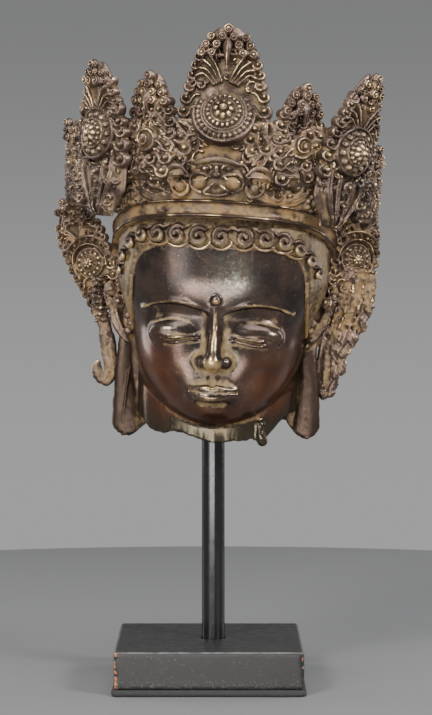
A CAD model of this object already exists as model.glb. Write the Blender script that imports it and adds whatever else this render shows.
import math

import bpy
import numpy as np
from mathutils import Matrix, Vector


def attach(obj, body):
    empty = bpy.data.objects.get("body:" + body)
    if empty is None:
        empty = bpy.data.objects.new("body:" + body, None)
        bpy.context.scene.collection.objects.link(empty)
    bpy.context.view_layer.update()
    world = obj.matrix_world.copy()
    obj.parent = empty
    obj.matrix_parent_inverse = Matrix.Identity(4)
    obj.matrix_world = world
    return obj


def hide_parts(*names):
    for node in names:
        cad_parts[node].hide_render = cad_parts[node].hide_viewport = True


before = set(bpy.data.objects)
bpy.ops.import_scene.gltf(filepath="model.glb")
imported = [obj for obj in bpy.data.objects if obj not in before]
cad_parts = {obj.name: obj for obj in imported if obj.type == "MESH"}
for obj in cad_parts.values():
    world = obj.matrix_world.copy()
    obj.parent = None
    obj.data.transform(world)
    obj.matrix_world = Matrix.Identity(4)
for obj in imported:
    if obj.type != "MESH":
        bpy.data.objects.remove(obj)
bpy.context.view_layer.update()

# Sizes that the solids were built with, in millimetres
BASE_WIDTH = 100.0
BASE_DEPTH = 100.0
BASE_HEIGHT = 20.0
FELT_HEIGHT = 3.5
ROD_DIAMETER = 12.5
ROD_X = 2.2
ROD_IN_BASE = 14.0
ROD_IN_HEAD = 36.0
NECK_HEIGHT = 130.0
HEAD_X = 3.3
HEAD_YAW = math.radians(-4)
HEAD_ROLL = math.radians(2.8)

CHIN_Z = 10.0
FACE_HEIGHT = 93.0
FACE_HALF_WIDTH = 47.0
HAIR_HALF_WIDTH = 56.0
FACE_FRONT = 45.5
SKULL_BACK = 52.0
SKULL_TOP = 150.0
NECK_HALF_WIDTH = 45.0
NECK_HALF_DEPTH = 33.0
NECK_CENTRE_Y = 5.0
NECK_WALL = 4.0
NECK_RECESS = 7.0
ROUNDNESS = 2.3

BAND_HALF_WIDTH = 60.0
BAND_FRONT = 53.0
BAND_Z = 125.0
BAND_HEIGHT = 10.0
BAND_DROP = 24.0
WALL_TOP = 171.0
WALL_SPAN = math.radians(72)
FLARE_HALF_WIDTH = 80.0
FLARE_FRONT = 54.0
FLARE_HEIGHT = 45.0
LEAF_THICKNESS = 5.0

HAIRLINE_Z = CHIN_Z + FACE_HEIGHT
THIRD = FACE_HEIGHT / 3
BROW_Z = HAIRLINE_Z - THIRD
NOSE_Z = HAIRLINE_Z - 2 * THIRD
MOUTH_Z = NOSE_Z - 0.38 * THIRD
LID_Z = BROW_Z - 12.5
BLOCK_TOP = FELT_HEIGHT + BASE_HEIGHT

# Grid steps of the carving and the head, and the farthest distance kept, in millimetres
FINE = 0.42
COARSE = 0.74
FAR = 9.0

# Corners of the head's grid, and the flat radius and reach of the crown wall, in millimetres
HEAD_LOW, HEAD_HIGH = (-62, -62, -2), (62, 60, 163)
WALL_RADIUS = 66.0
WALL_REACH = WALL_SPAN * WALL_RADIUS

# Moves noise off its grid at the origin
NOISE_SHIFT = 100.37

# Most triangles of a piece
FACE_TRIANGLES = 175000
WALL_TRIANGLES = 105000
CURL_TRIANGLES = 55000
EAR_TRIANGLES = 42000

HEAD_MATRIX = (
    Matrix.Translation((HEAD_X, 0, NECK_HEIGHT))
    @ Matrix.Rotation(HEAD_ROLL, 4, "Y")
    @ Matrix.Rotation(HEAD_YAW, 4, "Z")
)
random = np.random.default_rng(11)


def clamp(value):
    return np.clip(value, 0, 1)


def smooth(share):
    s = clamp(share)
    return s * s * (3 - 2 * s)


def bell(distance, width):
    return np.exp(-((distance / width) ** 2))


def union(a, b, blend):
    if blend <= 0:
        return np.minimum(a, b)
    mix = clamp(0.5 + 0.5 * (b - a) / blend)
    return b * (1 - mix) + a * mix - blend * mix * (1 - mix)


def grid_spans(low, high, start, step, axes):
    """The part of each axis of a grid that covers low to high."""
    spans = []
    for a, b, zero, axis in zip(low, high, start, axes):
        first = int(math.floor((a - zero) / step))
        last = int(math.ceil((b - zero) / step)) + 1
        spans.append(slice(min(max(first, 0), len(axis)), min(max(last, 0), len(axis))))
    return tuple(spans)


# The eight corners of a grid cell
CELL = [(i, j, k) for i in (0, 1) for j in (0, 1) for k in (0, 1)]


# Smooth random values over space, the same on each run
class Noise:
    def __init__(self, size=24):
        self.size = size
        self.cells = random.uniform(-1, 1, (size, size, size)).astype(np.float32)

    def at(self, x, y, z, scale):
        total = 0
        parts = []
        for value in (x, y, z):
            value = np.asarray(value, np.float32) / scale + NOISE_SHIFT
            base = np.floor(value).astype(int)
            share = value - base
            parts.append((base % self.size, (base + 1) % self.size, share * share * (3 - 2 * share)))
        for i, j, k in CELL:
            weight = 1
            for choice, part in zip((i, j, k), parts):
                weight = weight * (part[2] if choice else 1 - part[2])
            total = total + weight * self.cells[parts[0][i], parts[1][j], parts[2][k]]
        return total


noise = Noise()


# Clay: signed distances on a grid, below zero inside
class Clay:
    def __init__(self, low, high, step):
        self.step = step
        self.low = np.array(low, float)
        counts = np.ceil((np.array(high, float) - self.low) / step).astype(int) + 1
        self.axis = [(self.low[k] + step * np.arange(counts[k])).astype(np.float32) for k in range(3)]
        self.field = np.full(counts, FAR, np.float32)

    def grid(self):
        return self.axis[0][:, None, None], self.axis[1][None, :, None], self.axis[2][None, None, :]

    def spans(self, low, high):
        return grid_spans(low, high, self.low, self.step, self.axis)

    def window(self, low, high):
        spans = self.spans(low, high)
        x, y, z = (self.axis[k][spans[k]] for k in range(3))
        return spans, x[:, None, None], y[None, :, None], z[None, None, :]

    def add(self, low, high, shape, blend=0.0, cut=False):
        spans, x, y, z = self.window(low, high)
        if x.size and y.size and z.size:
            self.merge(spans, shape(x, y, z), blend, cut)

    def merge(self, spans, shape, blend, cut):
        sign = -1 if cut else 1
        self.field[spans] = sign * union(sign * self.field[spans], shape, blend)

    def ball(self, centre, radius, blend=0.0):
        self.egg(centre, (radius, radius, radius), blend)

    def egg(self, centre, radii, blend=0.0, turn=0.0, cut=False):
        centre = np.array(centre, float)
        cos, sin = math.cos(turn), math.sin(turn)
        reach = max(radii) + blend + 1

        def shape(x, y, z):
            dx, dy, dz = x - centre[0], y - centre[1], z - centre[2]
            if turn:
                dx, dz = dx * cos - dz * sin, dx * sin + dz * cos
            k0 = np.sqrt((dx / radii[0]) ** 2 + (dy / radii[1]) ** 2 + (dz / radii[2]) ** 2)
            k1 = np.sqrt((dx / radii[0] ** 2) ** 2 + (dy / radii[1] ** 2) ** 2 + (dz / radii[2] ** 2) ** 2)
            return k0 * (k0 - 1) / np.maximum(k1, 1e-6)

        self.add(centre - reach, centre + reach, shape, blend, cut)

    def tube(self, points, radii, blend=0.0, flat=None, cut=False):
        """A rounded rod along points; flat squeezes its depth along y by that factor."""
        points = np.array(points, float)
        radii = np.broadcast_to(np.asarray(radii, float), (len(points),))
        margin = float(radii.max()) + blend + 1
        spans, x, y, z = self.window(points.min(0) - margin, points.max(0) + margin)
        if not (x.size and y.size and z.size):
            return
        shape = np.full((x.shape[0], y.shape[1], z.shape[2]), FAR, np.float32)
        offset = [s.start for s in spans]
        squeeze = 1 / flat if flat else 1
        for a, b, ra, rb in zip(points[:-1], points[1:], radii[:-1], radii[1:]):
            local = self.spans(np.minimum(a, b) - margin, np.maximum(a, b) + margin)
            part = tuple(slice(s.start - o, s.stop - o) for s, o in zip(local, offset))
            px, py, pz = (self.axis[k][local[k]] for k in range(3))
            start = self.axis[0][local[0]], self.axis[1][local[1]], self.axis[2][local[2]]
            px, pz = start[0][:, None, None] - a[0], start[2][None, None, :] - a[2]
            py = (start[1][None, :, None] - a[1]) * squeeze
            along = (b - a) * np.array((1, squeeze, 1))
            length = max(float(along @ along), 1e-9)
            t = clamp((px * along[0] + py * along[1] + pz * along[2]) / length)
            distance = np.sqrt((px - along[0] * t) ** 2 + (py - along[1] * t) ** 2
                               + (pz - along[2] * t) ** 2)
            distance = distance - (ra + (rb - ra) * t)
            shape[part] = np.minimum(shape[part], distance)
        self.merge(spans, shape, blend, cut)

    def mesh(self):
        """Corners and four-sided faces of the surface, one corner for each cell that it crosses."""
        d = self.field
        d[0], d[-1] = FAR, FAR
        d[:, 0], d[:, -1] = FAR, FAR
        d[:, :, 0], d[:, :, -1] = FAR, FAR
        inside = d < 0
        count = np.zeros(tuple(n - 1 for n in d.shape), np.int8)
        for i, j, k in CELL:
            count += inside[i:i + count.shape[0], j:j + count.shape[1], k:k + count.shape[2]]
        cells = np.argwhere((count > 0) & (count < 8))
        number = np.full(count.shape, -1, np.int32)
        number[cells[:, 0], cells[:, 1], cells[:, 2]] = np.arange(len(cells))
        total = np.zeros((len(cells), 3))
        hits = np.zeros(len(cells))
        value = {s: d[cells[:, 0] + s[0], cells[:, 1] + s[1], cells[:, 2] + s[2]] for s in CELL}
        for axis in range(3):
            for s in CELL:
                if s[axis]:
                    continue
                e = tuple(1 if k == axis else s[k] for k in range(3))
                a, b = value[s], value[e]
                crossing = (a < 0) != (b < 0)
                t = np.where(crossing, a / np.where(crossing, a - b, 1), 0)
                for k in range(3):
                    total[:, k] += np.where(crossing, s[k] + (t if k == axis else 0), 0)
                hits += crossing
        corners = self.low + self.step * (cells + total / hits[:, None])
        faces = []
        for axis in range(3):
            lower = [slice(None)] * 3
            upper = [slice(None)] * 3
            lower[axis], upper[axis] = slice(0, -1), slice(1, None)
            a, b = inside[tuple(lower)], inside[tuple(upper)]
            edges = np.argwhere(a != b)
            leaving = a[edges[:, 0], edges[:, 1], edges[:, 2]]
            u, v = (axis + 1) % 3, (axis + 2) % 3
            ring = []
            for du, dv in ((0, 0), (-1, 0), (-1, -1), (0, -1)):
                at = edges.copy()
                at[:, u] += du
                at[:, v] += dv
                ring.append(number[at[:, 0], at[:, 1], at[:, 2]])
            quad = np.stack(ring, 1)
            quad[~leaving] = quad[~leaving][:, ::-1]
            faces.append(quad)
        return corners, np.concatenate(faces)

    def sample(self, grid, points):
        """Values of a grid at points, taken between its corners."""
        at = (points - self.low) / self.step
        base = np.clip(np.floor(at).astype(int), 0, np.array(grid.shape) - 2)
        share = at - base
        total = 0
        for corner in CELL:
            weight = 1
            for axis, choice in enumerate(corner):
                weight = weight * (share[:, axis] if choice else 1 - share[:, axis])
            total = total + weight * grid[tuple(base[:, k] + corner[k] for k in range(3))]
        return total

    def fullness(self, points, reach):
        """Share of metal within reach of each point: half on a flat, more in a hollow, less on a ridge."""
        solid = clamp(0.5 - self.field / self.step).astype(np.float32)
        width = max(1, int(round(reach / self.step)))
        for axis in range(3):
            for _ in range(2):
                padded = np.pad(solid, [(width + 1, width) if k == axis else (0, 0) for k in range(3)])
                sums = np.cumsum(padded, axis=axis, dtype=np.float32)
                count = solid.shape[axis]
                upper = [slice(None)] * 3
                lower = [slice(None)] * 3
                upper[axis] = slice(2 * width + 1, 2 * width + 1 + count)
                lower[axis] = slice(0, count)
                solid = (sums[tuple(upper)] - sums[tuple(lower)]) / (2 * width + 1)
        return self.sample(solid, points)

    def surface(self, near, far):
        """Corners, faces, and the fullness of two sizes at each corner."""
        corners, faces = self.mesh()
        return corners, faces, self.fullness(corners, near), self.fullness(corners, far)


def line_distance(u, v, a, b):
    """How far along from a to b each point lies, from 0 to 1, and its distance from that line."""
    along = b - a
    du, dv = u - a[0], v - a[1]
    t = clamp((du * along[0] + dv * along[1]) / max(float(along @ along), 1e-9))
    return t, np.sqrt((du - along[0] * t) ** 2 + (dv - along[1] * t) ** 2)


# Relief: heights over a flat face in its own u and v, and the outline that its ornaments fill
class Relief:
    def __init__(self, low, high, step):
        self.step = step
        self.low = low
        self.u = low[0] + step * np.arange(int(math.ceil((high[0] - low[0]) / step)) + 1)
        self.v = low[1] + step * np.arange(int(math.ceil((high[1] - low[1]) / step)) + 1)
        self.height = np.zeros((len(self.u), len(self.v)), np.float32)
        self.rim = np.full(self.height.shape, FAR, np.float32)

    def window(self, low, high):
        spans = grid_spans(low, high, self.low, self.step, (self.u, self.v))
        return spans, self.u[spans[0]][:, None], self.v[spans[1]][None, :]

    def ridge(self, points, width, height, base=0.0, rim=True, power=0.5):
        """A rounded ridge along points; width and height may change along it."""
        points = np.array(points, float)
        width = np.broadcast_to(np.asarray(width, float), (len(points),))
        height = np.broadcast_to(np.asarray(height, float), (len(points),))
        margin = width.max() + (4 if rim else 0.6)
        part, u, v = self.window(points.min(0) - margin, points.max(0) + margin)
        if not (u.size and v.size):
            return
        nearest = np.full((u.shape[0], v.shape[1]), FAR)
        wide = np.ones(nearest.shape)
        tall = np.zeros(nearest.shape)
        for i in range(len(points) - 1):
            t, distance = line_distance(u, v, points[i], points[i + 1])
            w = width[i] + (width[i + 1] - width[i]) * t
            q = distance / w
            closer = q < nearest
            nearest = np.where(closer, q, nearest)
            wide = np.where(closer, w, wide)
            tall = np.where(closer, height[i] + (height[i + 1] - height[i]) * t, tall)
        raised = base + tall * clamp(1 - nearest**2) ** power
        self.height[part] = np.where(nearest < 1, np.maximum(self.height[part], raised), self.height[part])
        if rim:
            self.rim[part] = np.minimum(self.rim[part], (nearest - 1) * wide)

    def groove(self, points, width, depth):
        """A rounded groove along points."""
        points = np.array(points, float)
        part, u, v = self.window(points.min(0) - width - 1, points.max(0) + width + 1)
        if not (u.size and v.size):
            return
        nearest = np.full((u.shape[0], v.shape[1]), FAR)
        for a, b in zip(points[:-1], points[1:]):
            nearest = np.minimum(nearest, line_distance(u, v, a, b)[1] / width)
        self.height[part] -= (depth * clamp(1 - nearest**2)).astype(np.float32)

    def bead(self, centre, radius, height, base, ring=False):
        """A round bead, or a berry with a ring and a dot."""
        margin = radius + 0.6
        part, u, v = self.window(np.array(centre) - margin, np.array(centre) + margin)
        if not (u.size and v.size):
            return
        q = np.sqrt((u - centre[0]) ** 2 + (v - centre[1]) ** 2) / radius
        dome = np.sqrt(clamp(1 - q**2))
        if ring:
            circle = np.sqrt(clamp(1 - ((q - 0.62) / 0.22) ** 2)) * 0.28
            dot = np.sqrt(clamp(1 - (q / 0.3) ** 2)) * 0.42
            dome = 0.78 * dome + np.maximum(circle, dot)
        raised = base + height * dome
        self.height[part] = np.where(q < 1, np.maximum(self.height[part], raised), self.height[part])

    def plate(self, edge):
        """Fills the outline where edge, a distance, is below zero."""
        self.rim = np.minimum(self.rim, edge)


def curve(points, count):
    """Evenly counted points of a smooth curve through the given ones."""
    points = np.array(points, float)
    ends = np.concatenate(([2 * points[0] - points[1]], points, [2 * points[-1] - points[-2]]))
    at = np.linspace(0, len(points) - 1, count)
    i = np.minimum(at.astype(int), len(points) - 2)
    t = (at - i)[:, None]
    p0, p1, p2, p3 = ends[i], ends[i + 1], ends[i + 2], ends[i + 3]
    return 0.5 * (2 * p1 + (p2 - p0) * t + (2 * p0 - 5 * p1 + 4 * p2 - p3) * t**2
                  + (3 * p1 - p0 - 3 * p2 + p3) * t**3)


# Ornaments of the carving
ORNAMENT_BASE = 0.2


def blade(relief, points, width, height):
    """A long pointed leaf with a groove along its middle."""
    path = curve(points, 20)
    share = np.linspace(0, 1, 20)
    wide = np.maximum(width * np.sin(math.pi * (0.06 + 0.90 * share)) ** 0.7, 0.25)
    relief.ridge(path, wide, height, ORNAMENT_BASE, rim=False, power=0.6)
    relief.groove(path[2:-3], 0.32 * width, height * 0.5)


def crook(relief, centre, r, side, root=None, height=3.0, turn=0.0, rim=True):
    """A horn that dips under a ball and curls over it."""
    t = np.linspace(0, 1, 15)
    angle = (math.pi if side > 0 else 0) + turn + side * math.radians(290) * t
    reach = r * (0.92 - 0.32 * t)
    points = np.stack((centre[0] + reach * np.cos(angle), centre[1] + reach * np.sin(angle)), 1)
    width = r * np.interp(t, [0, 0.35, 0.7, 1], [0.20, 0.40, 0.30, 0.14])
    tall = height * np.interp(t, [0, 0.4, 1], [0.65, 1.0, 0.75])
    if root is not None:
        lead = curve([root, 0.5 * np.array(root) + 0.5 * points[0] + (0, 0.25 * r), points[0]], 6)[:-1]
        points = np.concatenate((lead, points))
        width = np.concatenate((np.full(5, width[0]), width))
        tall = np.concatenate((np.full(5, tall[0]), tall))
    relief.ridge(points, width, tall, ORNAMENT_BASE, rim)
    relief.bead((centre[0], centre[1] + 0.08 * r), r * 0.40, height * 1.15, ORNAMENT_BASE)


# Carving between the main forms
def fill(relief, size, low, high, avoid, height, seed):
    """Curls and small leaves of about one size wherever the face is bare, clear of the circles to avoid."""
    row = 0
    v = low
    while v < high:
        first = relief.u[0] + (size * 0.9 if row % 2 else 0)
        for k, u in enumerate(np.arange(first, relief.u[-1], size * 1.72)):
            shift = 0.4 * size * float(noise.at(u, v, seed, 1.3))
            at = (u + shift, v + 0.4 * size * float(noise.at(u, v, seed + 2, 1.3)))
            r = size * (1 + 0.22 * float(noise.at(u, v, seed + 5, 1.1)))
            reach = r * 0.8
            part = relief.window((at[0] - reach, at[1] - reach), (at[0] + reach, at[1] + reach))[0]
            if not relief.rim[part].size or relief.rim[part].max() > -0.3:
                continue
            if any((at[0] - a) ** 2 + (at[1] - b) ** 2 < (c + r * 0.7) ** 2 for a, b, c in avoid):
                continue
            if (relief.height[part] > 0.6).mean() > 0.42:
                continue
            side = 1 if (k + row) % 2 else -1
            choice = float(noise.at(u, v, seed + 12, 0.7))
            turn = 2.6 * float(noise.at(u, v, seed + 9, 0.9))
            if choice <= 0.25:
                crook(relief, at, r, side, height=height, turn=turn, rim=False)
                continue
            lean = (math.cos(turn + 1.2), math.sin(turn + 1.2))
            for offset in (-0.5, 0.45):
                foot = (at[0] - r * lean[0] + offset * r * lean[1],
                        at[1] - r * lean[1] - offset * r * lean[0])
                middle = (at[0] + offset * r * lean[1] * 1.2, at[1] - offset * r * lean[0])
                tip = (at[0] + 1.1 * r * lean[0] + offset * 0.4 * r, at[1] + 1.1 * r * lean[1])
                blade(relief, [foot, middle, tip], r * 0.36, height)
        v += size * 1.55
        row += 1


def soften(heights):
    h = np.pad(heights, 1, mode="edge")
    return 0.5 * heights + 0.125 * (h[:-2, 1:-1] + h[2:, 1:-1] + h[1:-1, :-2] + h[1:-1, 2:])


# Pieces
def add_piece(name, corners, faces, values, material, most=None):
    """A piece of the head: corners in the head's own millimetres, values for each corner."""
    place = np.array(HEAD_MATRIX)
    world = (corners @ place[:3, :3].T + place[:3, 3]) / 1000
    on_frame(add_mesh(name, world, faces, values, material, most), "head")


def add_mesh(name, world, faces, values, material, most=None):
    mesh = bpy.data.meshes.new(name)
    width = faces.shape[1]
    mesh.vertices.add(len(world))
    mesh.vertices.foreach_set("co", world.astype(np.float32).ravel())
    mesh.loops.add(faces.size)
    mesh.loops.foreach_set("vertex_index", faces.astype(np.int32).ravel())
    mesh.polygons.add(len(faces))
    mesh.polygons.foreach_set("loop_start", np.arange(0, faces.size, width, dtype=np.int32))
    mesh.polygons.foreach_set("use_smooth", np.ones(len(faces), bool))
    for label, value in values.items():
        mesh.attributes.new(label, "FLOAT", "POINT").data.foreach_set("value", value.astype(np.float32))
    mesh.update(calc_edges=True)
    mesh.validate()
    piece = bpy.data.objects.new(name, mesh)
    bpy.context.scene.collection.objects.link(piece)
    triangles = len(faces) * (width - 2)
    if most and triangles > most:
        fewer = piece.modifiers.new("fewer", "DECIMATE")
        fewer.ratio = most / triangles
        shown = piece.evaluated_get(bpy.context.evaluated_depsgraph_get())
        lighter = bpy.data.meshes.new_from_object(shown)
        piece.modifiers.clear()
        piece.data = lighter
        lighter.name = name
    piece.data.materials.clear()
    piece.data.materials.append(material)
    return piece


def on_frame(piece, node):
    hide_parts(node)
    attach(piece, "root")


def relief_clay(relief, top, back):
    """Clay for a relief: u across, y towards the back, v up."""
    soft = 0.8
    low = (relief.u[0], -top, relief.v[0])
    high = (relief.u[-1], LEAF_THICKNESS + 1.5, relief.v[-1])
    clay = Clay(low, high, FINE)
    slope_u, slope_v = np.gradient(relief.height, relief.step)
    slope = np.sqrt(1 + np.minimum(slope_u**2 + slope_v**2, 9))[:, None, :]
    y = clay.axis[1][None, :, None]
    front = (-y - relief.height[:, None, :]) / slope
    body = -union(-front, back - y, soft)
    clay.field = (-union(-body, -relief.rim[:, None, :], soft)).astype(np.float32)
    return clay


# Head: skull, face and neck
def head_spread(z):
    """How far the head reaches to the side, front and back at a height."""
    cheek_z = CHIN_Z + 0.68 * FACE_HEIGHT
    low = CHIN_Z - 2
    fall = clamp((cheek_z - z) / (cheek_z - low))
    rise = smooth((z - cheek_z + 16) / 34)
    dome = clamp((z - HAIRLINE_Z) / (SKULL_TOP - HAIRLINE_Z))
    cap = np.sqrt(np.maximum(0, 1 - dome**2.4))
    jaw = np.sqrt(np.maximum(0, 1 - fall**2.6))
    mask = np.maximum(0, 1 - fall**6) ** 0.36
    side = (FACE_HALF_WIDTH * jaw + (HAIR_HALF_WIDTH - FACE_HALF_WIDTH) * rise) * cap
    front = (FACE_FRONT * mask + 3 * rise) * cap
    back = (SKULL_BACK * mask**0.6 - 6 * fall) * cap
    return side, front, back


def face_relief(x, z):
    side = np.abs(x)
    socket = -3 * bell(side - 19, 14) * bell(z - BROW_Z + 7, 7)
    cheek = 2 * bell(side - 26, 14) * bell(z - NOSE_Z - 4, 15)
    mouth = 2.2 * bell(x, 15) * bell(z - MOUTH_Z, 8)
    chin = 4 * bell(x, 12) * bell(z - CHIN_Z - 8, 8)
    return socket + cheek + mouth + chin


def skin_y(x, z):
    side, front, _ = head_spread(np.float64(z))
    share = np.minimum(1, np.abs(x) / max(float(side), 1))
    return -front * (1 - share**ROUNDNESS) ** (1 / ROUNDNESS) - face_relief(x, z)


def on_skin(x, z, out=0.0):
    return (float(x), float(skin_y(x, z) - out), float(z))


def skull_field(x, y, z):
    side, front, back = (np.maximum(s, 0.6) for s in head_spread(z))
    reach = np.where(y < 0, front, back)
    facing = smooth((-y / np.maximum(np.sqrt(x**2 + y**2), 1) - 0.1) / 0.5)
    skin = y + facing * face_relief(x, z)
    skin = np.where(y < 0, np.minimum(skin, 0), y)
    q = ((np.abs(x) / side) ** ROUNDNESS + (np.abs(skin) / reach) ** ROUNDNESS) ** (1 / ROUNDNESS)
    radius = np.sqrt(x**2 + y**2)
    surface = radius / np.maximum(q, 1e-3)
    slope = np.gradient(np.where(q > 0.05, surface, 0), axis=2) / (z[0, 0, 1] - z[0, 0, 0])
    distance = (radius - surface) / np.sqrt(1 + np.minimum(slope**2, 9))
    distance = np.where(q > 0.05, distance, -FAR)
    distance = np.maximum(distance, z - SKULL_TOP)
    return np.maximum(distance, CHIN_Z - 2 - z).astype(np.float32)


def opening(x, z):
    """Below one where the skin shows, inside the arch of the hairline."""
    return (np.abs(x) / 45.8) ** 6 + (np.maximum(z - 62, 0) / 43.0) ** 6


def hair_amount(x, y, z):
    """One on the hair, nothing on the skin; the skin shows in an arch that the hair frames."""
    front = smooth((opening(x, z) - 1) / 0.35) * smooth((z - 58) / 8)
    behind = smooth((y - 2) / 6) * smooth((z - 32) / 3)
    return np.maximum(front, behind)


def neck_field(x, y, z):
    dx, dy = x / NECK_HALF_WIDTH, (y - NECK_CENTRE_Y) / NECK_HALF_DEPTH
    q = np.sqrt(dx**2 + dy**2)
    angle = np.arctan2(-dy, dx)
    rise = np.where(dx > 0, 13 * smooth((dx - 0.55) / 0.3), 9 * smooth((-dx - 0.6) / 0.4))
    bottom = 4 + 1.5 * np.sin(3 * angle + 1) + 1.4 * np.sin(7 * angle) + rise
    bottom = bottom + 0.9 * noise.at(x, y, x * 0, 3.1) + 0.5 * noise.at(x, y, x * 0, 1.3)
    wall = (q - 1) * NECK_HALF_DEPTH
    return np.maximum(np.maximum(wall, bottom - z), z - NOSE_Z)


def face_forms(clay):
    # Nose: a narrow bridge that widens to a rounded tip and wings
    drop = [(BROW_Z + 1, 0.2), (BROW_Z - 9, 2.4), (NOSE_Z + 16, 5.2), (NOSE_Z + 8, 8.0),
            (NOSE_Z + 4.5, 9.0)]
    bridge = [on_skin(0, z, out - 3.2) for z, out in drop]
    clay.tube(curve(bridge, 14), np.interp(np.linspace(0, 1, 14), [0, 0.45, 1], [2.4, 3.4, 4.6]), 4.5)
    clay.tube(curve([on_skin(0, z, out - 0.3) for z, out in drop], 14), np.linspace(0.9, 1.5, 14), 2.2)
    clay.egg(on_skin(0, NOSE_Z + 4.2, 5.4), (4.9, 4.4, 4.3), 2.5)
    for side in (-1, 1):
        clay.egg(on_skin(side * 6.6, NOSE_Z + 4.2, 1.6), (3.3, 4.0, 3.4), 2.2)
        clay.egg(on_skin(side * 3.7, NOSE_Z + 0.7, 4.6), (1.9, 2.4, 0.9), 0.6, cut=True)
        wing = ((8.8, 9.0, 1.0), (11.0, 5.0, -0.2), (8.8, 1.0, 0.2))
        clay.tube(curve([on_skin(side * a, NOSE_Z + b, c) for a, b, c in wing], 9), 0.55, 1.3, cut=True)
        # Brow: a raised crescent that starts beside the nose
        xs = np.linspace(2.0, 40, 26)
        arch = [on_skin(side * x, BROW_Z - 3.5 + 7.0 * math.sin(math.pi * (x + 1) / 49), -0.1) for x in xs]
        thick = 0.6 + 1.05 * np.sin(np.linspace(0.3, math.pi - 0.1, 26)) ** 0.8
        clay.tube(arch, thick, 1.5)
        # Hollow under the brow
        hollow = [on_skin(side * x, BROW_Z - 5.8 + 5.0 * math.sin(math.pi * x / 46), 3.6)
                  for x in np.linspace(8, 33, 10)]
        clay.tube(hollow, 3.2, 4.0, cut=True)
        # Eyeball under a heavy lid
        centre = on_skin(side * 20.5, LID_Z + 0.4)
        clay.egg((centre[0], centre[1] + 4.4, centre[2]), (15.2, 8.0, 7.4), 3.4, turn=side * 0.03)
        # Shallow crease above the lid
        xs = np.linspace(8, 34.5, 18)
        share = (xs - 8) / 26.5
        crease = [on_skin(side * x, LID_Z + 1.6 + 5.2 * math.sin(math.pi * s) ** 0.7 + 1.2 * s,
                          1.1 + 0.7 * math.sin(math.pi * s))
                  for x, s in zip(xs, share)]
        clay.tube(crease[1:-1], 0.4, 1.0, cut=True)
        # Rim of the upper lid, the slit and the rim of the lower lid
        slit_z = LID_Z - 1.6 - 2.5 * np.sin(math.pi * share) + 1.8 * share + 0.7 * np.sin(2 * math.pi * share)
        out = 4.2 * np.sin(math.pi * np.clip(share, 0.03, 0.97)) ** 0.7
        upper = [on_skin(side * x, z + 0.8, o - 0.3) for x, z, o in zip(xs, slit_z, out)]
        lower = [on_skin(side * x, z - 1.0 - 1.0 * math.sin(math.pi * s), o - 0.8)
                 for x, z, o, s in zip(xs, slit_z, out, share)]
        clay.tube(upper, 0.45 + 0.5 * np.sin(math.pi * share), 0.9)
        clay.tube(lower, 0.4 + 0.45 * np.sin(math.pi * share), 1.2)
        gap = [on_skin(side * x, z - 0.15, o + 0.6) for x, z, o in zip(xs, slit_z, out)]
        clay.tube(gap[1:-1], 0.45, 0.3, cut=True)
    # Lips: an upper one with a bow, a fuller lower one and the line between them
    reach = 12.8
    t = np.linspace(-1, 1, 29)
    body = [on_skin(reach * 0.80 * a, MOUTH_Z - 0.8, -0.9 - 1.2 * a * a) for a in t[::4]]
    clay.tube(body, 3.9, 3.4)
    bow = 1.6 * (1 - np.abs(t) ** 1.4) - 0.8 * np.exp(-((t / 0.13) ** 2)) + 0.9 * np.abs(t) ** 3
    upper = [on_skin(reach * a, MOUTH_Z + 0.7 + b, 1.3 - 1.7 * a * a) for a, b in zip(t, bow)]
    clay.tube(upper, 0.5 + 1.35 * np.cos(t * math.pi / 2) ** 0.6, 1.2)
    lower = [on_skin(reach * 0.80 * a, MOUTH_Z - 2.9 + 1.5 * a * a, 1.1 - 1.4 * a * a) for a in t]
    clay.tube(lower, 0.6 + 1.85 * np.cos(t * math.pi / 2) ** 0.7, 1.4)
    line = [on_skin(reach * 1.04 * a,
                    MOUTH_Z - 0.35 + 1.1 * abs(a) ** 2.2 - 0.35 * math.cos(a * math.pi * 1.5),
                    3.3 - 3.0 * a * a)
            for a in t]
    clay.tube(line, 0.45, 0.6, cut=True)
    # Grooves above and under the lips
    above = [on_skin(0, z, out)
             for z, out in ((MOUTH_Z + 4.6, 1.4), (NOSE_Z - 4, 1.7), (NOSE_Z - 0.5, 2.4))]
    clay.tube(curve(above, 7), 1.1, 1.8, cut=True)
    under = [on_skin(x, MOUTH_Z - drop, out)
             for x, drop, out in ((-6, 7.4, 1.1), (0, 8.2, 1.0), (6, 7.4, 1.1))]
    clay.tube(curve(under, 9), 1.3, 3.0, cut=True)
    # Dot between the brows
    clay.egg(on_skin(0, BROW_Z + 5.5, 0.0), (2.9, 2.5, 2.9), 0.2)


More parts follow.
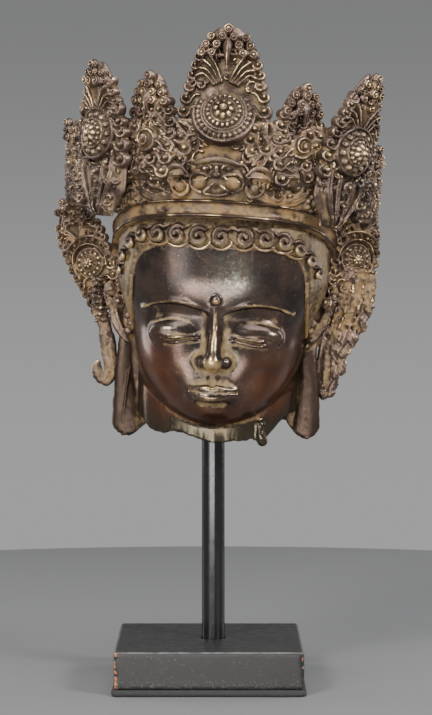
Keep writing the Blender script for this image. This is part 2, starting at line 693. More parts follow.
def build_head(material):
    clay = Clay(HEAD_LOW, HEAD_HIGH, COARSE)
    clay.field = skull_field(*clay.grid())
    spans, x, y, z = clay.window(HEAD_LOW, (62, 60, NOSE_Z + 2))
    clay.field[spans] = union(clay.field[spans], neck_field(x, y, z), 2.0)
    face_forms(clay)
    # Combed hair with a raised edge, and a low knot behind the crown
    clay.egg((0, 12, SKULL_TOP - 6), (20, 19, 15), 4.0)
    spans, x, y, z = clay.window((-62, -62, 30), HEAD_HIGH)
    amount = hair_amount(x, y, z)
    turn = np.arctan2(x, -(y - 6))
    wave = turn * 60 + 1.6 * np.sin(turn * 9) + 0.10 * (z - 90) * np.sin(turn * 3 + 1)
    strands = np.abs(np.sin(wave)) ** 0.7
    fade = smooth((np.sqrt(x**2 + y**2) - 8) / 14) * (0.25 + 0.75 * smooth((y + 30) / 20))
    clay.field[spans] -= (amount * 0.7 + 0.6 * strands * fade * amount**4).astype(np.float32)
    # Hollow of the neck, the hole for the rod and a spur of metal beside the chin
    spans, x, y, z = clay.window(HEAD_LOW, (62, 60, NECK_RECESS + 3))
    wide, deep = NECK_HALF_WIDTH - NECK_WALL, NECK_HALF_DEPTH - NECK_WALL
    inner = np.sqrt((x / wide) ** 2 + ((y - NECK_CENTRE_Y) / deep) ** 2)
    hollow = np.maximum((inner - 1) * deep, z - NECK_RECESS)
    clay.field[spans] = np.maximum(clay.field[spans], -hollow)
    inverse = np.array(HEAD_MATRIX.inverted())
    hole = [inverse[:3, :3] @ np.array((ROD_X, 0, NECK_HEIGHT + up)) + inverse[:3, 3]
            for up in (-12, ROD_IN_HEAD)]
    clay.tube(hole, ROD_DIAMETER / 2 + 0.3, cut=True)
    clay.tube(curve([(25, -22, 12), (25.5, -23, 7), (26.5, -22, 3.5)], 5), (2.6, 2.0, 2.2, 2.6, 2.9), 1.2)
    corners, faces, fine, broad = clay.surface(1.3, 4.0)
    add_piece("head_face", corners, faces, face_values(corners, fine, broad), material, FACE_TRIANGLES)


def face_values(points, fine, broad):
    """Dust, wear, colour and polish of the face, hair and neck."""
    x, y, z = points.T
    hair = hair_amount(x, y, z)
    side, front, back = (np.maximum(s, 1) for s in head_spread(z))
    q = ((np.abs(x) / side) ** ROUNDNESS
         + (np.abs(y) / np.where(y < 0, front, back)) ** ROUNDNESS) ** (1 / ROUNDNESS)
    neck = smooth((CHIN_Z + 6 - z) / 5 + (q - 1.12) * 9) * smooth((66 - z) / 14)
    neck = np.maximum(neck, smooth((y + 12) / 8) * smooth((66 - z) / 14)) * (1 - 0.8 * hair)
    face = (1 - hair) * (1 - neck)
    blotch = noise.at(x, y, z, 9) * 0.6 + noise.at(x, y, z, 4) * 0.4
    grain = noise.at(x, y, z, 1.1)
    eyes = bell(np.abs(x) - 20, 17) * bell(z - LID_Z - 1, 8)
    halo = bell(x, 15) * bell(z - MOUTH_Z - 2, 11) + 0.8 * eyes
    halo = halo + 0.6 * bell(x, 16) * bell(z - MOUTH_Z + 10, 8)
    halo = clamp(halo + bell(np.abs(x) - 10, 5) * bell(z - NOSE_Z - 6, 12))
    edge = smooth((opening(x, z) - 0.80) / 0.35) * (z > 50)
    hollow = clamp((fine - 0.512) * 12) + clamp((broad - 0.525) * 6) * 0.6
    dust = hollow * (0.45 + 0.55 * clamp(halo + edge))
    dust = dust + 0.5 * halo * smooth(0.42 + blotch * 0.8 + 0.35 * grain)
    dust = clamp(dust + edge * (0.5 + 0.4 * blotch))
    combed = clamp(0.62 + 2.5 * (fine - 0.5) + 0.30 * blotch + 0.12 * grain)
    dust = np.where(hair > 0.5, combed, dust)
    dust = dust * (1 - 0.65 * neck) + neck * clamp(0.08 + 0.35 * blotch + 0.2 * grain)
    lips = bell(x, 13) * bell(z - MOUTH_Z + 0.5, 4.5)
    nose = bell(x, 4) * smooth((z - NOSE_Z + 2) / 3) * smooth((BROW_Z - z) / 8)
    brows = bell(z - BROW_Z - 1, 5)
    lids = bell(np.abs(x) - 20, 15) * bell(z - LID_Z + 2.5, 2.6)
    rubbed = clamp(lips + nose * 1.2 + brows + 0.5 * lids + bell(x, 8) * bell(z - NOSE_Z - 4, 6))
    wear = clamp((0.462 - fine) * 10) * rubbed * (1 - hair) * (1 - neck)
    wear = clamp(wear * (0.8 + 0.4 * blotch) + hair * np.clip((0.42 - fine) * 6, 0, 0.35))
    warm = bell(np.abs(x) - 31, 13) * bell(z - 34, 22) + 1.0 * bell(x, 26) * bell(z - 14, 9)
    warm = clamp(warm * (0.75 + 0.7 * blotch)) * face
    pale = 1.3 * bell(x - 10, 10) * bell(z - 94, 9) * smooth(0.6 + 0.9 * blotch + 0.5 * grain)
    rings = 0.5 * bell(z - 60, 14) * smooth(0.2 + 1.2 * blotch) + 0.35 * halo * smooth(0.4 + blotch)
    pale = (pale + 0.5 * rings + 0.25 * smooth(0.1 + blotch) * smooth(0.5 + grain)) * face * (1 - edge)
    return {"dust": clamp(dust), "wear": wear, "warm": warm, "pale": clamp(pale), "polish": face,
            "neck": neck}


# Crown leaves
def leaf_shape(v, leaf):
    """Half width of a leaf at a share of its height, as a share of its own."""
    v, shoulder = np.asarray(v, float), leaf["shoulder"]
    below = 0.8 + 0.2 * np.sin(np.pi / 2 * np.minimum(v / shoulder, 1))
    s = clamp((v - shoulder) / (1 - shoulder))
    return np.where(v < shoulder, below, (1 - s**1.11) ** leaf["point"])


def leaf_matrix(leaf):
    return (
        Matrix.Translation((leaf["x"], leaf["y"], leaf["z"]))
        @ Matrix.Rotation(math.radians(leaf["azimuth"]), 4, "Z")
        @ Matrix.Rotation(math.radians(leaf["tilt"]), 4, "X")
        @ Matrix.Rotation(math.radians(leaf["lean"]), 4, "Y")
    )


def metal_values(points, fine, broad, ochre=0.0, shine=1.0):
    """Dust, wear and dark hollows of the carving."""
    x, y, z = points.T
    blotch = noise.at(x, y, z, 8) * 0.6 + noise.at(x, y, z, 3.2) * 0.4
    grain = noise.at(x, y, z, 0.9)
    hollow = np.clip((fine - 0.43) * 4.0, 0, 0.8)
    dust = hollow * (0.8 + 0.6 * blotch) + 0.45 * blotch + 0.12 * grain + ochre * 0.4
    wear = clamp((0.385 - fine) * 6) * clamp(0.5 + 1.0 * blotch + 0.4 * grain) * shine
    deep = clamp((fine - 0.552 + 0.03 * grain) * 8) + clamp((broad - 0.535) * 7)
    zero = np.zeros(len(points))
    return {"dust": clamp(dust), "wear": clamp(wear), "warm": clamp(deep), "pale": zero, "polish": zero,
            "neck": zero}


# Rings of a boss: distance out, width and height as shares, and the number of beads or none
RINGS = {
    "rich": [(0.94, 0.055, 1.3, 0), (0.81, 0.085, 1.5, 30), (0.695, 0.035, 1.0, 0), (0.615, 0.035, 0.9, 0),
             (0.50, 0.075, 1.7, 20), (0.395, 0.035, 1.0, 0), (0.25, 0.10, 2.4, 8), (0.0, 0.14, 3.4, 0)],
    "plain": [(0.93, 0.07, 1.5, 0), (0.73, 0.13, 1.9, 13), (0.55, 0.05, 1.3, 0), (0.42, 0.075, 1.5, 13),
              (0.24, 0.12, 2.4, 7), (0.0, 0.15, 3.0, 0)],
    "rosette": [(0.90, 0.09, 1.2, 0), (0.62, 0.20, 1.8, 9), (0.33, 0.09, 1.2, 0), (0.0, 0.24, 2.2, 0)],
}


def boss(clay, leaf):
    """Round boss with rings of beads about a cone with a worn knob."""
    radius, height = leaf["boss"], leaf["boss_height"]
    tilt = math.radians(leaf["boss_tilt"])
    centre = np.array((0, 0.0, leaf["boss_v"] * leaf["height"]))
    rings = RINGS[leaf.get("rings", "plain")]

    def shape(x, y, z):
        dy, dz = y - centre[1], z - centre[2]
        out = -dy * math.cos(tilt) + dz * math.sin(tilt)
        up = dz * math.cos(tilt) + dy * math.sin(tilt)
        q = np.sqrt(x**2 + up**2) / radius
        turn = np.arctan2(up, x)
        top = height * (0.10 + 0.58 * clamp(1 - q) ** 1.25)
        for at, wide, tall, count in rings:
            if count:
                period = 2 * math.pi / count
                along = ((turn + period / 2) % period - period / 2) * np.maximum(q, 0.05)
                near = ((q - at) / wide) ** 2 + (along / min(wide, at * period / 2)) ** 2
            else:
                near = ((q - at) / wide) ** 2
            top = top + tall * min(1.0, radius / 11) * np.sqrt(clamp(1 - near))
        return np.maximum((out - top) * 0.7, np.maximum((q - 1) * radius, -out - 3 * (q < 2)))

    reach = radius + 4
    clay.add(centre - (reach, height + 6, reach), centre + (reach, 4, reach), shape, 0.5)


def edge_scrolls(relief, leaf):
    """Horns with balls up both edges of a leaf, large beside the boss and small towards the tip."""
    half, height = leaf["width"] / 2, leaf["height"]
    large, small = leaf["curl"]
    last = leaf.get("curled", 0.86) * height
    for side in (-1, 1):
        v = leaf.get("first", 0) * height + large * (1.0 if side < 0 else 1.5)
        while v < last:
            share = v / height
            r = large + (small - large) * float(smooth((share - 0.3) / 0.5))
            r = r * (1 + 0.18 * float(noise.at(side * 7.0 + v, leaf["x"], 3.0, 1.0)))
            u = max(half * float(leaf_shape(share, leaf)) - r * 0.92, r * 0.8)
            root = (side * max(u - 2.0 * r, 0.3), v + 0.5 * r)
            crook(relief, (side * u, v), r, side, root,
                  turn=0.35 * float(noise.at(v, side * 3.0, leaf["x"], 0.9)))
            v += 1.80 * r


def build_leaf(name, leaf, material):
    half, height = leaf["width"] / 2, leaf["height"]
    relief = Relief((-half - 3.5, -2.0), (half + 3.5, height + 3.0), FINE)
    u, v = relief.u[:, None], relief.v[None, :]
    shape = half * leaf_shape(clamp(v / height), leaf)
    if leaf.get("long"):
        shape = shape * (0.62 + 0.38 * smooth(v / 16))
    edge = np.maximum(np.abs(u) - shape + leaf["inset"], np.maximum(-v, v - height + 1.0)) * 0.85
    relief.plate(edge)
    draw_leaf(relief, leaf)
    wobble = 0.2 * noise.at(u, v, 0 * u + leaf["x"], 2.3)
    rounding = 1.6 * smooth(1 + edge / 5)
    relief.height = soften(relief.height + wobble) - rounding
    back = LEAF_THICKNESS - 1.8 * smooth(1 + edge / 6)
    clay = relief_clay(relief, leaf["boss_height"] + 7, back[:, None, :])
    if leaf["boss_height"]:
        boss(clay, leaf)
    tip_forms(clay, leaf)
    corners, faces, fine, broad = clay.surface(1.0, 3.0)
    corners = corners + (0, -LEAF_THICKNESS / 2, 0)
    corners[:, 1] += leaf["bend"] * corners[:, 0] ** 2
    place = np.array(leaf_matrix(leaf))
    points = corners @ place[:3, :3].T + place[:3, 3]
    values = metal_values(points, fine, broad, leaf.get("ochre", 0))
    if leaf["boss_height"]:
        # Rubbed knob and dark grooves between the rings of the boss
        away = np.hypot(corners[:, 0], corners[:, 2] - leaf["boss_v"] * height) / leaf["boss"]
        knob = smooth((0.36 - away) / 0.08) * np.clip((0.46 - fine) * 7, 0, 0.85)
        ring = smooth((0.88 - away) / 0.05) * np.clip((0.44 - fine) * 6, 0, 0.6)
        values["wear"] = clamp(values["wear"] + knob + 0.5 * ring)
        groove = smooth((1.02 - away) / 0.05) * np.clip((fine - 0.505) * 9, 0, 0.75)
        values["warm"] = clamp(values["warm"] + groove)
    add_piece(name, points, faces, values, material, leaf["most"])


def draw_leaf(relief, leaf):
    height = leaf["height"]
    boss_v, r = leaf["boss_v"] * height, leaf["boss"]
    avoid = [(0, boss_v, r)]
    edge_scrolls(relief, leaf)
    if leaf.get("mask"):
        avoid += [(-1.4, 4, 15), (0, 12, 11)]
    if leaf.get("long"):
        # Long acanthus blades that sweep down from the boss to the root
        for side in (-1, 1):
            for a, b, c, d, width in ((0.95, 0.62, 0.80, 2.2, 2.0), (0.42, 1.02, 0.36, 1.0, 1.8)):
                path = [(side * r * a, boss_v - r * b), (side * r * c, boss_v * 0.45), (side * d, 1.0)]
                blade(relief, path, width, width + 1)
    if leaf.get("arch"):
        # Raised arch with dots over the rosette
        for reach, thick in ((1.22, 0.8), (1.72, 1.0)):
            turns = np.linspace(-0.5, math.pi + 0.5, 26)
            arch = np.stack((reach * r * np.cos(turns) * 0.95, boss_v + reach * r * np.sin(turns)), 1)
            relief.ridge(arch, thick, 3.0, 0.4, rim=False)
        for a in np.linspace(-0.4, math.pi + 0.4, 13):
            relief.bead((1.47 * r * 0.95 * math.cos(a), boss_v + 1.47 * r * math.sin(a)), 1.1, 2.2, 0.4)
        avoid.append((0, boss_v, r * 1.75))
    if leaf.get("flutes"):
        # Two bunches of flutes that spring from the top of the boss and turn out into scrolls
        top = boss_v + r * (1.75 if leaf.get("arch") else 1.0)
        count = leaf["flutes"]
        for side in (-1, 1):
            for k in range(count):
                s = k / (count - 1)
                start = (side * (0.12 + 0.24 * s) * r, top - 0.10 * s * r)
                mid = (side * (0.34 + 0.34 * s) * r, top + (0.50 - 0.30 * s) * r)
                end = (side * (0.62 + 0.30 * s) * r, top + (0.86 - 0.72 * s) * r)
                relief.ridge(curve([start, mid, end], 11), 0.80, np.linspace(2.0, 3.2, 11), 0.3)
            crook(relief, (side * r * 1.02, top - r * 0.06), 3.1, -side, height=3.6, turn=side * 0.9)
            crook(relief, (side * r * 0.70, top + r * 0.98), 2.7, -side, height=3.4, turn=side * 0.7)
        avoid.append((0, top + 0.5 * r, 0.22 * r))
    if leaf.get("snail"):
        # Spiral boss like a snail shell
        relief.bead((0, boss_v), r * 1.1, 2.6, 0.3)
        t = np.linspace(0, 1, 34)
        turn = -2.2 + 2 * math.pi * 1.7 * t
        reach = r * (1.02 - 0.80 * t)
        points = np.stack((reach * np.cos(turn), boss_v + reach * np.sin(turn)), 1)
        relief.ridge(points, np.interp(t, [0, 1], [1.05, 0.8]), 1.8 + 3.6 * t, base=1.2, rim=False)
        relief.bead((0, boss_v), 2.2, 5.6, 1.2)
        avoid[0] = (0, boss_v, r * 1.2)
    top = height * leaf["bunch"] + 1
    large, small = leaf["curl"]
    for size, low, high, tall, seed in (
        (large * 0.86, 1.5, boss_v + r * 0.4, 2.8, 0),
        (small * 0.95, boss_v, top, 2.6, 3),
        (small * 0.7, 1.5, top, 2.3, 7),
    ):
        fill(relief, size, low, high, avoid, tall, leaf["x"] + seed)


def tip_forms(clay, leaf):
    """Bunch of ringed berries at the tip and the pointed tongue that hangs from it."""
    half, height = leaf["width"] / 2, leaf["height"]
    size = leaf.get("berry", 2.4)
    low = height * leaf["bunch"]
    rows = int((height - low) / (size * 1.62)) + 1
    for row in range(rows):
        v = height - size * 1.0 - row * size * 1.62
        room = half * float(leaf_shape(v / height, leaf)) - size * 1.15
        count = 1 if row == 0 else max(1, int(room * 2 / (size * 1.95)) + 1)
        for k in range(count):
            share = 0 if count == 1 else 2 * k / (count - 1) - 1
            u = share * max(room, 0)
            if row > rows - 2 and abs(u) < size * 1.1 and leaf.get("tongue"):
                continue
            r = size * (1.12 if row == 0 else 0.98) * (1 + 0.08 * float(noise.at(u, v, leaf["x"], 1.0)))
            y = -1.2 - 1.3 * (1 - share**2)
            clay.egg((u, y + 0.3, v), (r, r * 0.8, r), 0.5)
            turns = np.linspace(0, 2 * math.pi, 11)
            ring = [(u + 0.66 * r * math.cos(a), y - r * 0.74, v + 0.66 * r * math.sin(a)) for a in turns]
            clay.tube(ring, r * 0.17)
            clay.ball((u, y - r * 0.98, v), r * 0.30, 0.1)
    if leaf.get("tongue"):
        top = low + size * 1.6
        end = low - leaf["tongue"] * height
        points = curve([(0, -2.6, top), (0, -4.2, top * 0.6 + end * 0.4), (0, -2.2, end)], 9)
        for lift, wide in ((0, [1.7, 2.5, 0.5]), (2.2, [0.3, 0.8, 0.2])):
            radii = np.interp(np.linspace(0, 1, 9), [0, 0.3, 1], wide)
            clay.tube(points - np.array((0, lift, 0)), radii, 0.2)


# Places and sizes of the leaves: x, y, z of the root, and the turns in degrees; shares are of the height
SMALL = dict(y=-46, z=138, tilt=0, width=32, shoulder=0.5, point=0.45, curl=(3.8, 2.6), inset=1.4,
             boss_height=0, snail=1, berry=2.6, bunch=0.72, curled=0.74, bend=0.010, most=42000)
SIDE = dict(first=0.30, point=0.5, curl=(4.0, 2.7), inset=1.5, boss_height=9.5, flutes=3, long=1, berry=2.5,
            bunch=0.87, bend=0.008, most=76000)
REAR = dict(y=-8, tilt=3, lean=0, shoulder=0.45, point=0.42, curl=(3.4, 2.4), inset=1.3, boss=5.4,
            boss_height=4, boss_v=0.5, boss_tilt=0, rings="rosette", berry=2.3, bunch=0.8, curled=0.78,
            bend=0.008, most=26000)
FAN = dict(y=2, tilt=0, curl=(3.0, 2.5), inset=1.3, boss_height=5, boss_tilt=0, flutes=4, berry=2.1,
           ochre=0.8, bend=0.008, arch=1, most=44000)
LEAVES = {
    "crown_centre": dict(x=-0.6, y=-53, z=140, azimuth=0, tilt=-3, lean=0.6, width=50, height=80.5,
                         shoulder=0.42, point=0.40, curl=(4.1, 2.5), inset=1.6, boss=17.2, boss_height=12,
                         boss_v=0.415, boss_tilt=22, rings="rich", tongue=0.13, flutes=4, mask=1, berry=2.6,
                         bunch=0.84, bend=0.0058, most=98000),
    "crown_small_left": dict(SMALL, x=-39, azimuth=-30, lean=2, height=57, boss=6.3, boss_v=0.385,
                             tongue=0.10),
    "crown_small_right": dict(SMALL, x=38.5, azimuth=30, lean=1, height=54, boss=6.0, boss_v=0.39,
                              tongue=0.13),
    "crown_far_left": dict(SIDE, x=-64, y=-31, z=119, azimuth=-46, tilt=5, lean=2, width=42, height=82,
                           shoulder=0.5, boss=14.0, boss_v=0.53, boss_tilt=6),
    "crown_far_right": dict(SIDE, x=57, y=-33, z=118, azimuth=46, tilt=10, lean=7, width=39, height=84,
                            shoulder=0.47, boss=13.4, boss_v=0.5, boss_tilt=2),
    "crown_rear_left": dict(REAR, x=-80, z=124, azimuth=-62, width=29, height=47),
    "crown_rear_right": dict(REAR, x=74, z=122, azimuth=62, width=28, height=42),
    "fan_left": dict(FAN, x=-60, z=70, azimuth=-20, lean=-29, width=29, height=66, shoulder=0.66,
                     point=0.45, boss=8.6, boss_v=0.41, bunch=0.92),
    "fan_right": dict(FAN, x=66, z=76, azimuth=22, lean=9, width=28, height=60, shoulder=0.5, point=0.42,
                      boss=8.8, boss_v=0.45, bunch=0.9),
}


# Crown wall, drawn flat and then bent round the head
def band_line(angle):
    """Height of the band's middle round the head."""
    s = np.sin(angle)
    return BAND_Z - 4 * s**2 - 10 * s**8


def crown_points(angle, height, out):
    """Points on the flared crown: round the head, above the band and out from it."""
    flare = smooth(height / FLARE_HEIGHT)
    half = BAND_HALF_WIDTH - 2 + (FLARE_HALF_WIDTH - BAND_HALF_WIDTH) * flare
    front = BAND_FRONT + (FLARE_FRONT - BAND_FRONT) * flare
    nx, ny = np.sin(angle) / half, -np.cos(angle) / front
    size = np.sqrt(nx**2 + ny**2)
    return np.stack((half * np.sin(angle) + nx / size * out, -front * np.cos(angle) + ny / size * out,
                     band_line(angle) + height), -1)


def build_wall(material):
    reach = WALL_REACH
    relief = Relief((-reach - 2, 1), (reach + 2, WALL_TOP - BAND_Z + 14), FINE)
    u, v = relief.u[:, None], relief.v[None, :]
    angle = u / WALL_RADIUS
    top = (WALL_TOP - band_line(angle) - 3) * (1 - 0.35 * np.abs(u / reach) ** 6) + 3
    relief.plate(np.maximum(np.maximum(np.abs(u) - reach, 3 - v), v - top) * 0.9)
    draw_wall(relief)
    wobble = 0.22 * noise.at(u, v, 0 * u, 2.3)
    relief.height = soften(relief.height + wobble)
    clay = relief_clay(relief, 13, LEAF_THICKNESS)
    mask_forms(clay)
    corners, faces, fine, broad = clay.surface(1.0, 3.0)
    out = -corners[:, 1] + 1.2 * (corners[:, 1] < 3.0)
    points = crown_points(corners[:, 0] / WALL_RADIUS, corners[:, 2], out)
    cheeks = bell(np.abs(corners[:, 0] + 2) - 8.6, 3.4) * bell(corners[:, 2] - 13.4, 3.4)
    cheeks = cheeks * (corners[:, 1] < -4)
    ochre = 0.8 + 0.5 * bell(corners[:, 2] - 6, 7) + 1.5 * cheeks
    values = metal_values(points, fine, broad, ochre, 1.3)
    add_piece("crown_wall", points, faces, values, material, WALL_TRIANGLES)


# Leaf sprays on each side of the wall: place, lean and length
SPRAYS = ((25, 5, 20), (32, -6, 16), (50, -7, 22), (46, 5, 17), (64, -4, 20), (70, 4, 16))


def draw_wall(relief):
    avoid = [(-2, 15, 17)]
    for side in (-1, 1):
        # Curved swags from the mask to the rosettes
        for lift in (0, 2.6, 5.2):
            swag = curve([(side * 21, 11.0 - lift * 0.9), (side * 31, 6.6 - lift * 0.35),
                          (side * 43, 9.0 - lift * 0.7), (side * 54, 16.5 - lift * 0.9)], 18)
            relief.ridge(swag, 1.15, 2.6 - 0.15 * lift, rim=False)
        relief.bead((side * 57, 9), 6.2, 1.6, 0.4)
        for k in range(8):
            a = k * math.pi / 4
            relief.bead((side * 57 + 4.0 * math.cos(a), 9 + 4.0 * math.sin(a)), 1.6, 2.6, 0.8)
        relief.bead((side * 57, 9), 2.3, 4.6, 0.8, ring=True)
        # Bold leaf sprays that rise from the swags between the leaves
        for at, lean, tall in SPRAYS:
            path = [(side * at, 12), (side * (at + lean * 0.2), 12 + tall * 0.55),
                    (side * (at + lean), 12 + tall)]
            blade(relief, path, 2.3, 3.0)
            hand = side * (1 if lean > 0 else -1)
            crook(relief, (side * (at + lean * 1.3), 13 + tall), 3.3, hand, height=3.4, rim=False)
    fill(relief, 3.6, 9, 48, avoid, 3.0, 1.0)
    fill(relief, 2.2, 6, 48, avoid, 2.6, 4.0)


def mask_forms(clay):
    """Monster mask with horned brow, ball eyes, round cheeks and fangs, and leaves and balls beside it."""
    centre_x, centre_z = -2.0, 16.3

    def at(x, y, z):
        return (centre_x + x, y, centre_z + z)

    clay.egg(at(0, -1.2, -0.8), (13.6, 4.6, 9.2), 1.0)
    half = [(11.5, -4.6, 8.2), (10.4, -5.6, 6.4), (6, -6.8, 7.9)]
    brow = [at(-x, y, z) for x, y, z in half] + [at(0, -7.4, 8.8)] + [at(*p) for p in half[::-1]]
    clay.tube(curve(brow, 24), 0.8 + 0.9 * np.sin(np.linspace(0, math.pi, 24)), 0.2)
    clay.egg(at(0, -7.4, 0.8), (2.6, 2.4, 1.9), 0.3)
    clay.egg(at(0, -6.6, 3.4), (1.2, 1.8, 2.6), 0.4)
    for side in (-1, 1):
        def line(points, count, radius, blend):
            clay.tube(curve([at(side * x, y, z) for x, y, z in points], count), radius, blend)

        clay.ball(at(side * 5.6, -6.2, 3.9), 2.1, 0.1)
        clay.ball(at(side * 5.6, -8.1, 3.9), 0.8, 0.1)
        lid = [at(side * (5.6 + 3.0 * math.cos(a)), -6.0, 3.9 + 2.6 * math.sin(a))
               for a in np.linspace(0, math.pi, 9)]
        clay.tube(lid, 0.5, 0.1)
        clay.egg(at(side * 8.4, -4.9, -3.0), (4.3, 3.0, 3.2), 0.3, turn=side * 0.6)
        for k in range(3):
            whisker = [(4.4 + 1.4 * k, -6.9, -0.6 - 0.5 * k), (7.6 + 1.5 * k, -7.4, -2.8 + 0.3 * k),
                       (9.6 + 1.2 * k, -6.4, -5.8 + 1.4 * k)]
            line(whisker, 8, 0.55, 0.2)
        ridge = [(2.6, -6.2, -0.2), (7.0, -6.6, 1.4), (11.8, -5.2, 0.8), (13.8, -4.0, -3.0),
                 (12.0, -4.2, -6.6), (8.4, -4.6, -8.0)]
        line(ridge, 18, 0.75, 0.1)
        line([(1.0, -6.4, -3.4), (4, -6.6, -5.8), (6.2, -5.6, -8.4), (0, -5.0, -10.0)], 14, 0.7, 0.1)
        clay.egg(at(side * 2.6, -6.2, -6.2), (0.75, 1.0, 1.6), 0.1)
        # Lying leaves and balls beside the mask
        clay.egg(at(side * 21.5, -1.4, 1.4), (6.6, 2.8, 2.6), 0.2, turn=side * 0.3)
        thick = 1.3 * np.sin(np.linspace(0.35, math.pi - 0.35, 14)) ** 0.6
        line([(14.6, -2.6, 1.0), (18.5, -3.4, 5.2), (24, -3.2, 4.8), (29.0, -2.2, -0.6)], 14, thick, 0.1)
        line([(15.0, -2.4, 0.4), (21, -4.4, 1.0), (28, -2.2, -0.6)], 10, 0.5, 0.2)
        clay.ball(at(side * 20, -2.6, -5.2), 3.0, 0.1)
        hook = [(24.6, -2.2, -2.4), (25.0, -2.8, -6.6), (20.6, -2.8, -9.6), (16.4, -2.6, -7.6),
                (15.6, -2.4, -4.6)]
        line(hook, 14, 1.0, 0.1)
    clay.egg(at(0, -6.2, -6.6), (3.2, 2.2, 2.0), 0.2, cut=True)


def sweep(rings):
    """Corners and faces of a closed tube from rings of points, capped at both ends."""
    rings = np.asarray(rings, float)
    rows, columns = rings.shape[:2]
    corners = np.concatenate((rings.reshape(-1, 3), rings[:1].mean(1), rings[-1:].mean(1)))
    i = np.arange(rows - 1)[:, None] * columns
    j = np.arange(columns)[None, :]
    k = (j + 1) % columns
    quads = np.stack((i + j, i + k, i + columns + k, i + columns + j), -1).reshape(-1, 4)
    first, last = rows * columns, rows * columns + 1
    j, k = j[0], k[0]
    caps = np.concatenate((np.stack((k, j, np.full(columns, first)), 1),
                           np.stack((j + (rows - 1) * columns, k + (rows - 1) * columns,
                                     np.full(columns, last)), 1)))
    triangles = np.concatenate((quads[:, [0, 1, 2]], quads[:, [0, 2, 3]], caps))
    return corners, triangles


# Section of the crown band, up and out
BAND_SECTION = [(0.4, -1.3), (0.5, 0.4), (0.46, 0.80), (0.39, 1.0), (0.31, 0.84), (0.24, 0.56), (0.0, 0.46),
                (-0.18, 0.52), (-0.26, 0.84), (-0.34, 1.0), (-0.44, 0.86), (-0.5, 0.4), (-0.4, -1.3)]


def build_band(material):
    steps = 240
    share = np.linspace(-1, 1, steps)
    profile = curve(BAND_SECTION + [BAND_SECTION[0]], 48)[:-1]
    up, out = profile[:, 0][None, :], profile[:, 1][None, :]
    s = share[:, None]
    arch = np.pi / 2 * np.minimum(1, np.abs(s) / 0.82) * np.sign(s)
    drop = smooth((np.abs(s) - 0.7) / 0.3)
    flat = 1 - 0.6 * drop
    rough = 0.3 * noise.at(s * 150, up * 9, out * 3, 4.0) + 0.16 * noise.at(s * 150, up * 9, out * 3, 1.4)
    rings = crown_points(arch + 0 * up, up * BAND_HEIGHT * flat + 0 * s, -1 + (out + 0 * s) * 4.0 + rough)
    rings[..., 2] -= BAND_DROP * drop
    rings[..., 0] += np.sign(s) * up * BAND_HEIGHT * -0.5 * drop
    corners, faces = sweep(rings)
    tall = np.concatenate((np.broadcast_to(out, (steps, out.shape[1])).ravel(), [0, 0]))
    blotch = noise.at(*corners.T, 5.0)
    crest = smooth((tall - 0.74) / 0.2)
    fine = 0.60 - 0.26 * smooth((tall - 0.35) / 0.6)
    values = metal_values(corners, fine, np.full(len(corners), 0.5), 0.9)
    grain = noise.at(*corners.T, 1.3)
    values["dust"] = clamp(0.74 + 0.55 * blotch + 0.3 * grain - crest * (0.7 + 0.4 * blotch))
    values["wear"] = smooth((tall - 0.955) / 0.05) * clamp(0.35 + 0.9 * blotch)
    values["pale"] = crest * 0.8
    values["warm"] = 0 * crest
    add_piece("crown_band", corners, faces, values, material)


# Snail curls along the hairline: x, z and size
CURLS = [(-52.6, 91.6, 3.7), (-51.0, 99.4, 4.2), (-46.6, 106.6, 4.5), (-40.2, 110.6, 4.6),
         (-31.8, 111.2, 5.0), (-21.6, 111.0, 5.4), (-10.4, 110.4, 5.5), (1.2, 110.6, 5.5),
         (12.8, 110.6, 5.4), (23.6, 110.8, 5.2), (33.0, 109.6, 4.9), (40.8, 106.6, 4.5), (46.6, 101.2, 4.2),
         (50.6, 94.2, 3.8)]


